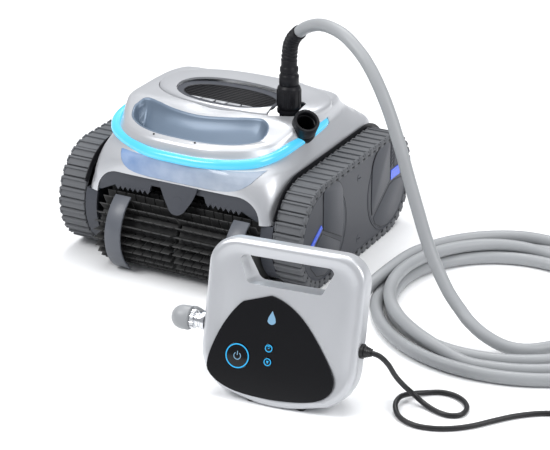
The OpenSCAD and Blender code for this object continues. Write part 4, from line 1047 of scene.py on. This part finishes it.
@dataclass
class Track(Assembly):
    """One track belt with rounded lugs, its side cover and hub discs."""

    side: int = 1
    axle_z: float = 80.0
    half_base: float = 104.0
    band_r: float = 74.5
    inner_x: float = 156.0
    outer_x: float = 200.0

    @property
    def label(self) -> str:
        """Names the side."""
        return "right" if self.side > 0 else "left"

    def stations(self) -> list[tuple]:
        """Gives each lug's place and the angle of its outward direction."""
        out = []
        for y, start in ((self.half_base, -90), (-self.half_base, 90)):
            for i in range(15):
                a = math.radians(start + 180 * (i + 0.5) / 15)
                out.append((y + self.band_r * math.cos(a), self.axle_z + self.band_r * math.sin(a), a))
        for sign in (1, -1):
            for i in range(12):
                share = 2 * self.half_base * ((i + 0.5) / 12 - 0.5)
                out.append((sign * share, self.axle_z - sign * self.band_r, -sign * math.pi / 2))
        return out

    def stadium(self, r: float) -> list[tuple]:
        """Gives the belt's oval line at a radius, of Y and Z."""
        return (arc((self.half_base, self.axle_z), r, -90, 90, 32)
                + arc((-self.half_base, self.axle_z), r, 90, 270, 32))

    def build(self) -> None:
        """Makes the belt of this side."""
        self.axes = robot_matrix() @ Matrix.Scale(self.side, 4, (1, 0, 0))
        self.belt()

    def piece(self, name: str, bm: bmesh.types.BMesh, *args: object, **more: object) -> bpy.types.Object:
        """Makes a piece and keeps its faces outwards on the mirrored side."""
        if self.side < 0:
            bmesh.ops.reverse_faces(bm, faces=bm.faces)
        return super().piece(f"{name}_{self.label}", bm, *args, **more)

    def belt(self) -> None:
        """Makes the band with its lugs, each with a rounded finger over the band's outer edge."""
        line = self.stadium(1)
        section = [(0.5, -2.4), (43.4, -2.4), (43.6, -1.8), (43.6, -0.2), (43, 0), (1, 0), (0.5, -0.6)]

        def shape(u: float, v: float) -> Vector:
            """Gives a point of the band."""
            dx, dr = section[round(v * len(section)) % len(section)]
            y, z = self.stadium(self.band_r + dr)[round(u * len(line)) % len(line)]
            return Vector((self.inner_x + dx, y, z))

        band = skin(shape, len(line), len(section))
        lugs = []
        for y, z, a in self.stations():
            place = Matrix.Translation((178, y, z)) @ Matrix.Rotation(a, 4, "X")
            bar = block((43.4, 6.8, 3.6), (-0.2, 2.0, -5.0), 1.0, 2)
            pad = block((42.8, 4.2, 14.2), (-0.2, 0.9, 0), 0.9, 1)
            lugs.append(moved(pad, place))
            finger = block((3.2, 12.0, 10.6), (20.4, -1.2, -1.4), 1.5, 2)
            lugs += [moved(bar, place), moved(finger, place)]
            if self.side > 0:
                inner = block((3.0, 9.0, 8.6), (-20.3, -0.2, 0), 1.4, 2)
                lugs.append(moved(inner, place))
        for bm in lugs:
            for v in bm.verts:
                v.co.z = max(v.co.z, 0.02)
        self.piece("tread", joined([band, *lugs]), Paint.TREAD, "root", (f"track_belt_{self.label}",),
                   "track_rubber", 40)

    def hubs(self) -> list[tuple]:
        """Gives the cover's rim, hub discs, panels, ribs and blue stripes as named meshes."""
        y0, y1, z, x = -self.half_base, self.half_base, self.axle_z, self.outer_x
        rim_line = self.stadium(70.2)
        rim = tube([Vector((x - 2.0, a, b)) for a, b in [*rim_line, rim_line[0], rim_line[1]]], lambda s: 1.5, 8)
        discs = {}
        for name, y in (("front", y0), ("rear", y1)):
            disc = turned([(0.3, 0), (69, 0), (69, 0.7), (68.3, 1.3), (66.6, 1.3), (66.2, 0.7), (65.8, 0.7), (65.4, 1.2),
                           (0.3, 1.2)], 96)
            discs[name] = moved(disc, Matrix.Translation((x - 2.4, y, z)) @ Matrix.Rotation(math.pi / 2, 4, "Y"))
        low, top = x - 1.3, x - 0.15
        panels = [plate([(-109, 89)] + arc((-101, 142), 8, 180, 100, 5) + arc((-80, 118), 33, 88, 15, 8)
                        + [(-46.5, 100), (-46, 76), (-50, 56)], low, top, "X"),
                  plate([(108, 86)] + arc((100, 141), 8, 0, 80, 5) + arc((82, 116), 34, 92, 170, 8)
                        + [(47.5, 92), (47, 66), (50, 51)], low, top, "X")]
        facets = [plate([(-113, 84), (-54, 49), (-60, 36), (-78, 23), (-104, 17), (-128, 24), (-146, 42), (-150, 60)],
                        low, top - 0.5, "X"),
                  plate([(108, 78), (54, 44), (62, 32), (82, 20), (104, 16), (130, 22), (150, 38), (160, 58), (150, 76),
                         (124, 80)], low, top - 0.5, "X"),
                  plate([(123, 103), (152, 103), (164, 92), (162, 108), (150, 128), (136, 140), (123, 146)], low,
                        top - 0.2, "X")]
        ribs = [plate([(112, 104 + 6 * i), (120, 108 + 6 * i), (120, 111 + 6 * i), (112, 107 + 6 * i)], low, top, "X")
                for i in range(7)]
        shapes = [*panels, *facets]
        seams = []
        for shape in shapes:
            seam = shape.copy()
            centre = sum((v.co for v in seam.verts), Vector()) / len(seam.verts)
            for v in seam.verts:
                away = Vector((0, v.co.y - centre.y, v.co.z - centre.z))
                v.co += away.normalized() * 1.3
                v.co.x -= 0.5 if v.co.x > (low + top) / 2 else 0
            seams.append(seam)
        for shape in shapes:
            soften(shape, 0.5, 2)
        stripes = [plate([(-116, 99), (-112, 92.5), (-147, 70), (-152, 77)], low, top, "X"),
                   plate([(112, 84), (144, 84), (139, 100), (112, 100)], low, top, "X")]
        return [("front_hub_disc", joined([discs["front"]]), Paint.COVER, ("front_hub_covers",), "grey_plastic"),
                ("rear_hub_disc", joined([discs["rear"]]), Paint.COVER, ("rear_hub_covers",), "grey_plastic"),
                ("hub_panels", joined([*shapes, *ribs]), Paint.GREY, (), "grey_plastic"),
                ("hub_seams", joined([rim, *seams]), Paint.BLACK, (), "black_plastic"),
                ("blue_stripes", joined([soften(m, 0.3, 1) for m in stripes]), Paint.BLUE, ("hub_accents",),
                 "blue_accent")]


def hub_pieces() -> None:
    """Makes the hub pieces of both sides, each pair as one piece."""
    right = Track(side=1)
    right.axes = robot_matrix()
    for (name, bm, paint, nodes, slot), (_, twin, _, _, _) in zip(right.hubs(), right.hubs()):
        moved(twin, Matrix.Scale(-1, 4, (1, 0, 0)))
        bmesh.ops.reverse_faces(twin, faces=twin.faces)
        Assembly.piece(right, name, joined([bm, twin]), paint, "root", nodes, slot, 35)


@dataclass
class Brush(Assembly):
    """The roller brush, its guard straps and the scoop over it."""

    axis: tuple = (-157.0, 57.0)
    radius: float = 56.0
    rows_round: int = 26

    def build(self) -> None:
        """Makes the brush halves, straps and scoop details."""
        y, z = self.axis
        turn = Matrix.Translation((0, y, z))
        self.axes = robot_matrix() @ turn
        for name, x0, x1 in (("left", -122.0, 6.0), ("right", 10.0, 132.0)):
            parts = [moved(turned([(6.1, x0), (36, x0), (38, x0 + 1.5), (38, x1 - 1.5), (36, x1), (6.1, x1)], 56),
                           Matrix.Rotation(math.pi / 2, 4, "Y") @ Matrix.Scale(1, 4))]
            cells = 8
            step = (x1 - x0) / cells
            for i in range(self.rows_round):
                for k in range(cells):
                    a = TURN * i / self.rows_round
                    fin = block((step - 1.3, 1.7, 19.2), (x0 + step * (k + 0.5), 0, 46.3), 0.5, 1)
                    parts.append(moved(fin, Matrix.Rotation(a, 4, "X")))
            self.piece(f"brush_fins_{name}", joined(parts), Paint.BRUSH, "brush", (f"brush_{name}",),
                       "brush_rubber", 35)
        self.straps()
        self.tab()
        self.shadow_strips()

    def tab(self) -> None:
        """Makes the rounded tab that hangs from the scoop over the brush."""
        outline = ([(-27, 146), (-26, 139), (-19, 124)] + arc((4, 119), 16.5, 205, 335, 16)
                   + [(27, 124), (34, 139), (36, 146)])

        def bent(bm: bmesh.types.BMesh) -> bmesh.types.BMesh:
            """Leans the tab's lower end forward over the brush."""
            for v in bm.verts:
                v.co.y -= 8.5 * max(0.0, (146 - v.co.z) / 42) ** 2
            return bm

        tab = plate(outline, -182.3, -180.0, "Y")
        bmesh.ops.bisect_plane(tab, geom=tab.verts[:] + tab.edges[:] + tab.faces[:], plane_co=(0, 0, 130),
                               plane_no=(0, 0, 1))
        ring = moved(turned([(6.6, -1), (8.2, -1), (8.2, 0.3), (6.6, 0.3)], 48),
                     Matrix.Translation((4, -182.3, 121)) @ Matrix.Rotation(math.pi / 2, 4, "X"))
        self.axes = robot_matrix()
        self.piece("scoop_tab", bent(joined([soften(tab, 0.7, 2, 50), ring])), Paint.GREY, "root", ("scoop_badge",),
                   "grey_plastic", 35)

    def shadow_strips(self) -> None:
        """Makes the black strips between the body sides and the tracks, as painted shadow in the gap under the shell's
        edge.
        """
        line = arc((-104, 80), 85.5, 152, 92, 16) + arc((104, 80), 85.5, 88, 20, 16)
        inner = arc((104, 80), 76, 20, 88, 16) + arc((-104, 80), 76, 92, 152, 16)
        # Painted shadow: thin black strips where the shell's edge shades the gap above the tracks.
        strips = [plate(line + inner, x, x + 1.1, "X") for x in (154.6, -155.7)]
        self.piece("side_shadow_strips", joined(strips), Paint.BLACK, "root", (), "black_plastic")

    def straps(self) -> None:
        """Makes the two guard straps."""
        y, z = 0.0, 0.0
        parts = []
        for x in (-97.0, 98.0):
            outer = arc((y, z), 65.5, 118, 236, 60)
            inner = arc((y, z), 62, 236, 118, 60)
            parts.append(soften(plate(outer + inner, x, x + 26, "X"), 1.0, 2, 50))
        self.piece("guard_straps", joined(parts), Paint.STRAP, "root", ("brush_guards",), "grey_plastic", 35)


@dataclass
class ControlBox(Assembly):
    """The leaning control box with its glass panel, keys and fittings."""

    width: float = 214.0
    height: float = 212.0
    rim: float = 27.0
    depth: float = 72.0
    key: tuple = (-54.0, 60.0)
    modes: tuple = ((-12.0, 77.0), (-12.0, 59.0))

    def face(self, g: float) -> list[tuple]:
        """Gives the front outline grown by g."""
        w, h, top, low = self.width / 2, self.height, 36, 62
        return (arc((w - top, h - top), top + g, 0, 90, 12) + arc((-w + top, h - top), top + g, 90, 180, 12)
                + arc((-w + low, low + 6), low + g, 180, 244, 12) + arc((0, 176), 176 + g, 256, 284, 10)
                + arc((w - low, low + 6), low + g, 296, 360, 12))

    def grip(self, g: float) -> list[tuple]:
        """Gives the handle window's outline."""
        v = self.height - 28
        return (arc((56, v), 8 + g, 10, 90, 8) + arc((-56, v), 8 + g, 90, 170, 8)
                + arc((-46, v - 20), 8 + g, 190, 270, 8) + arc((46, v - 20), 8 + g, 270, 350, 8))

    def panel(self, g: float) -> list[tuple]:
        """Gives the glass panel's outline."""
        knots = [(-16, 145), (24, 126), (60, 84), (79, 46), (62, 21), (10, 11), (-52, 13), (-88, 28), (-95, 50),
                 (-78, 98), (-50, 135)]
        loop = catmull([(*k, 0) for k in [*knots[-2:], *knots, *knots[:2]]], 8)[16:-16]
        c = Vector((-8, 66, 0))
        return [((p + (p - c).normalized() * g).x, (p + (p - c).normalized() * g).y) for p in loop[:-1]]

    def build(self) -> None:
        """Makes the box from front to back."""
        self.axes = box_matrix()
        self.front()
        self.back()
        self.glass()
        self.fittings()

    def front(self) -> None:
        """Makes the front shell: rounded rim, a soft hollow round the panel and the handle window."""
        outline = self.face(0)
        n = len(outline)
        c = Vector((0, 104))
        prof = [(3.0, 27.0, 0), (0.0, 26.4, 0), (0, 22, 0), (0, 9, 0), (-0.8, 5, 0), (-2.8, 2.2, 0), (-6, 0.7, 0),
                (-9, 0.4, 0), (-12, 0.9, 1), (-17, 2.2, 1), (-24, 3.2, 1), (-34, 3.0, 1), (-46, 2.0, 1)]

        def shape(u: float, v: float) -> Vector:
            """Gives a point; the last row closes the middle, the first the back."""
            row = round(v * (len(prof) + 1)) - 1
            p = Vector(outline[round(u * n) % n])
            if row < 0:
                return Vector((0, 27.0, 104))
            if row >= len(prof):
                return Vector((0, 1.4, 80))
            grow, d, _ = prof[row]
            if row == 0:
                grow = 0
                d = 27.0
            away = p - c
            q = p + away.normalized() * grow if grow > -10 else c + away * (1 + grow / away.length)
            return Vector((q.x, d, q.y))

        w = 3.0
        hollow = plate(self.face(-w - 1), w + 5.5, 40, "Y")
        cuts = [hollow, plate(self.grip(0), -20, 60, "Y"), plate(self.panel(0.2), -20, 3.6, "Y")]
        below = block((400, 400, 100), (0, 0, 0), 0.01, 1)
        cuts.append(moved(below, Matrix.Rotation(BOX_LEAN, 4, "X") @ Matrix.Translation((0, 0, -50.1))))
        self.piece("box_front", skin(shape, n, len(prof) + 1), Paint.SILVER, "root", ("box_front_shell",),
                   "silver_shell", 32, cuts, 0.4)
        loop = [Vector((x, 2.2, z)) for x, z in self.grip(1.6)]
        collar = plate(self.grip(3), 3.0, 26.5, "Y")
        self.piece("grip_lining", collar, Paint.SILVER, "root", (), "silver_shell", 40,
                   [plate(self.grip(0.1), -10, 50, "Y")], 0.8)
        LOG.info("grip has %d points", len(loop))

    def back(self) -> None:
        """Makes the back shell, full below and thin behind the handle."""
        outline = self.face(0)
        n = len(outline)
        levels = [(-6, 27.2, 0), (-6.5, 33, 0), (-9, 42, 0.2), (-15, 54, 0.5), (-22, 64, 0.8), (-29, 70, 1.0),
                  (-36, 72, 1.0)]

        def shape(u: float, v: float) -> Vector:
            """Gives a point of the back."""
            row = round(v * (len(levels) + 1)) - 1
            if row < 0:
                return Vector((0, 27.2, 100))
            if row >= len(levels):
                return Vector((0, 72, 70))
            grow, d, fold = levels[row]
            p = Vector(outline[round(u * n) % n])
            away = p - Vector((0, 104))
            q = p + away.normalized() * grow
            top = self.height - 10 - 86 * fold
            low = 4 + 18 * fold
            return Vector((q.x, d, min(max(q.y, low), top)))

        below = block((400, 400, 100), (0, 0, 0), 0.01, 1)
        cuts = [plate(self.grip(3), 0, 90, "Y"),
                moved(below, Matrix.Rotation(BOX_LEAN, 4, "X") @ Matrix.Translation((0, 0, -50.1)))]
        self.piece("box_back", skin(shape, n, len(levels) + 1), Paint.SILVER, "root", ("box_back_shell",),
                   "silver_shell", 38, cuts, 0.8)

    def ring(self, c: tuple, r: float, t: float, d: float, start: float = 0, end: float = 360) -> bmesh.types.BMesh:
        """Makes a flat lit ring or part of one on the panel."""
        turn = 48
        if end - start >= 360:
            bm = turned([(r - t / 2, 0), (r + t / 2, 0), (r + t / 2, 0.25), (r - t / 2, 0.25)], turn)
            return moved(bm, Matrix.Translation((c[0], d, c[1])) @ Matrix.Rotation(math.pi / 2, 4, "X"))
        outer, inner = arc(c, r + t / 2, start, end, turn), arc(c, r - t / 2, end, start, turn)
        return plate(outer + inner, d - 0.25, d, "Y")

    def glass(self) -> None:
        """Makes the panel, its keys and its lit signs."""
        d = -0.4
        key_hole = [moved(turned([(0.1, -10), (r + 0.4, -10), (r + 0.4, 10), (0.1, 10)], 64),
                          Matrix.Translation((c[0], 0, c[1])) @ Matrix.Rotation(math.pi / 2, 4, "X"))
                    for c, r in ((self.key, 17.0), (self.modes[0], 6.0), (self.modes[1], 6.0))]
        self.piece("glass_panel", plate(self.panel(0), d, 2.0, "Y"), Paint.GLASS, "root", ("control_panel",),
                   "panel_gloss", 40, key_hole, 0.5)
        front = d - 1.0
        for name, c, r, body, node in (("power", self.key, 17.0, "power_button", "power_key"),
                                       ("upper", self.modes[0], 6.0, "upper_button", "mode_key_upper"),
                                       ("lower", self.modes[1], 6.0, "lower_button", "mode_key_lower")):
            cap = turned([(0.2, 0), (r - 0.8, 0), (r - 0.2, 0.25), (r, 0.9), (r, 5), (r - 2, 5), (r - 2, 9), (0.2, 9)], 64)
            place = Matrix.Translation((c[0], front, c[1])) @ Matrix.Rotation(-math.pi / 2, 4, "X")
            self.piece(f"{name}_cap", moved(cap, place), Paint.GLASS, body, (node,), "panel_gloss", 35)
            self.piece(f"{name}_ring", self.ring(c, r - 1.5, 1.5 if r > 10 else 1.1, front), Paint.SIGN, body, (),
                       "glow_tube", 40)
        c = self.key
        sign = [self.ring(c, 4.6, 1.0, front, 125, 415), plate([(c[0] - 0.5, c[1] + 1), (c[0] + 0.5, c[1] + 1),
                (c[0] + 0.5, c[1] + 6.4), (c[0] - 0.5, c[1] + 6.4)], front - 0.25, front, "Y")]
        self.piece("power_sign", joined(sign), Paint.MARK, "power_button", (), "glow_tube", 40)
        a, b = self.modes
        up = [self.ring(a, 2.6, 0.8, front, 40, 140), self.ring((a[0], a[1] - 1), 1.2, 0.8, front, 40, 140)]
        self.piece("upper_sign", joined(up), Paint.SIGN, "upper_button", (), "glow_tube", 40)
        low = [plate([(b[0] - 1.8, b[1] + 1.6), (b[0] + 1.8, b[1] + 1.6), (b[0], b[1] - 2.4)], front - 0.25, front, "Y")]
        self.piece("lower_sign", joined(low), Paint.SIGN, "lower_button", (), "glow_tube", 40)
        m = (-12.0, 114.0)
        drop = arc(m, 6.0, 200, 340, 18) + [(m[0] + 4.6, m[1] + 3), (m[0], m[1] + 12), (m[0] - 4.6, m[1] + 3)]
        self.piece("drop_mark", plate(drop, d - 0.25, d, "Y"), Paint.MARK, "root", (), "glow_tube", 40)

    def fittings(self) -> None:
        """Makes the cord gland and the bright hose connector."""
        w = self.width / 2
        gland = turned([(3.55, -8), (6, -8), (6, 0), (9.6, 0), (9.6, 4), (7.6, 4.4), (7.6, 7), (6.6, 8), (6.8, 9.2),
                        (6.0, 10), (6.2, 11.2), (5.4, 12), (5.4, 13.9), (3.55, 13.9)], 40)
        self.piece("cord_gland", moved(gland, Matrix.Translation((w, 14, 92)) @ Matrix.Rotation(math.pi / 2, 4, "Y")),
                   Paint.CORD, "root", ("cable_gland",), "cord_rubber", 35)
        body = turned([(4, -8), (8, -8), (8, 0), (12, 0), (12.4, 1), (12.4, 4.4), (11.6, 5.2), (10, 5.4), (10, 8),
                       (10.6, 8.6), (10.6, 10.4), (9.4, 11), (9.4, 14), (11.6, 14.6), (12, 16), (12, 20), (11, 21),
                       (4, 21)], 48)
        knurl = [moved(block((1.6, 1.6, 6.0), (11.9, 0, 17.4), 0.5, 1), Matrix.Rotation(TURN * i / 28, 4, "Z"))
                 for i in range(28)]
        side = Matrix.Translation((-w, 14, 94)) @ Matrix.Rotation(-math.pi / 2, 4, "Y")
        self.piece("chrome_fitting", moved(joined([body, *knurl]), side), Paint.STEEL, "root", ("hose_connector",),
                   "chrome", 35)
        shell = turned([(0.3, 21), (12, 21), (15, 22), (16, 24), (16, 33)] + [(16 * math.cos(math.radians(t)),
                       33 + 15.9 * math.sin(math.radians(t))) for t in (15, 30, 45, 60, 75, 88)] + [(0.3, 48.9)], 48)
        arm = tube([Vector((0, y, 33)) for y in (0, 6, 12, 18, 23.8)], lambda s: 11.0, 32)
        self.piece("elbow_cap", moved(joined([shell, arm]), side), Paint.HOSE, "root", (), "hose_vinyl", 35)


def dress_frame() -> None:
    """Finishes the CAD nodes that show as they are."""
    paint_nodes(Paint.BLACK, "chassis_tub", "belly_plate", "impeller", "intake_flap_left", "intake_flap_right",
                "pump_motor", "drive_motors", "front_wheel_left", "front_wheel_right", "rear_wheel_left",
                "rear_wheel_right", "box_feet")
    paint_nodes(Paint.GREY, "front_scoop", "side_guards", "cover_screws")
    paint_nodes(Paint.COVER, "side_cover_left", "side_cover_right")
    paint_nodes(Paint.STEEL, "rear_axles", "drive_shaft_left", "drive_shaft_right", "brush_shaft",
                "lid_hinge_pins", "power_transformer")
    paint_nodes(Paint.BRASS, "shaft_bushes")
    paint_nodes(Paint.SEAT, "filter_basket")
    paint_nodes(Paint.BOARD, "box_circuit_board")


def main() -> None:
    """Builds the studio and every assembly, in order."""
    logging.basicConfig(level=logging.INFO, format="%(name)s: %(message)s")
    bpy.context.scene.view_settings.view_transform = "Standard"
    Studio().build()
    hose = Hose()
    hose.build()
    PowerCord().build()
    hose.declare(Neck().build())
    Body().build()
    JetNozzle().build()
    for side in (1, -1):
        Track(side=side).build()
    hub_pieces()
    Brush().build()
    ControlBox().build()
    dress_frame()


if __name__ == "__main__":
    main()
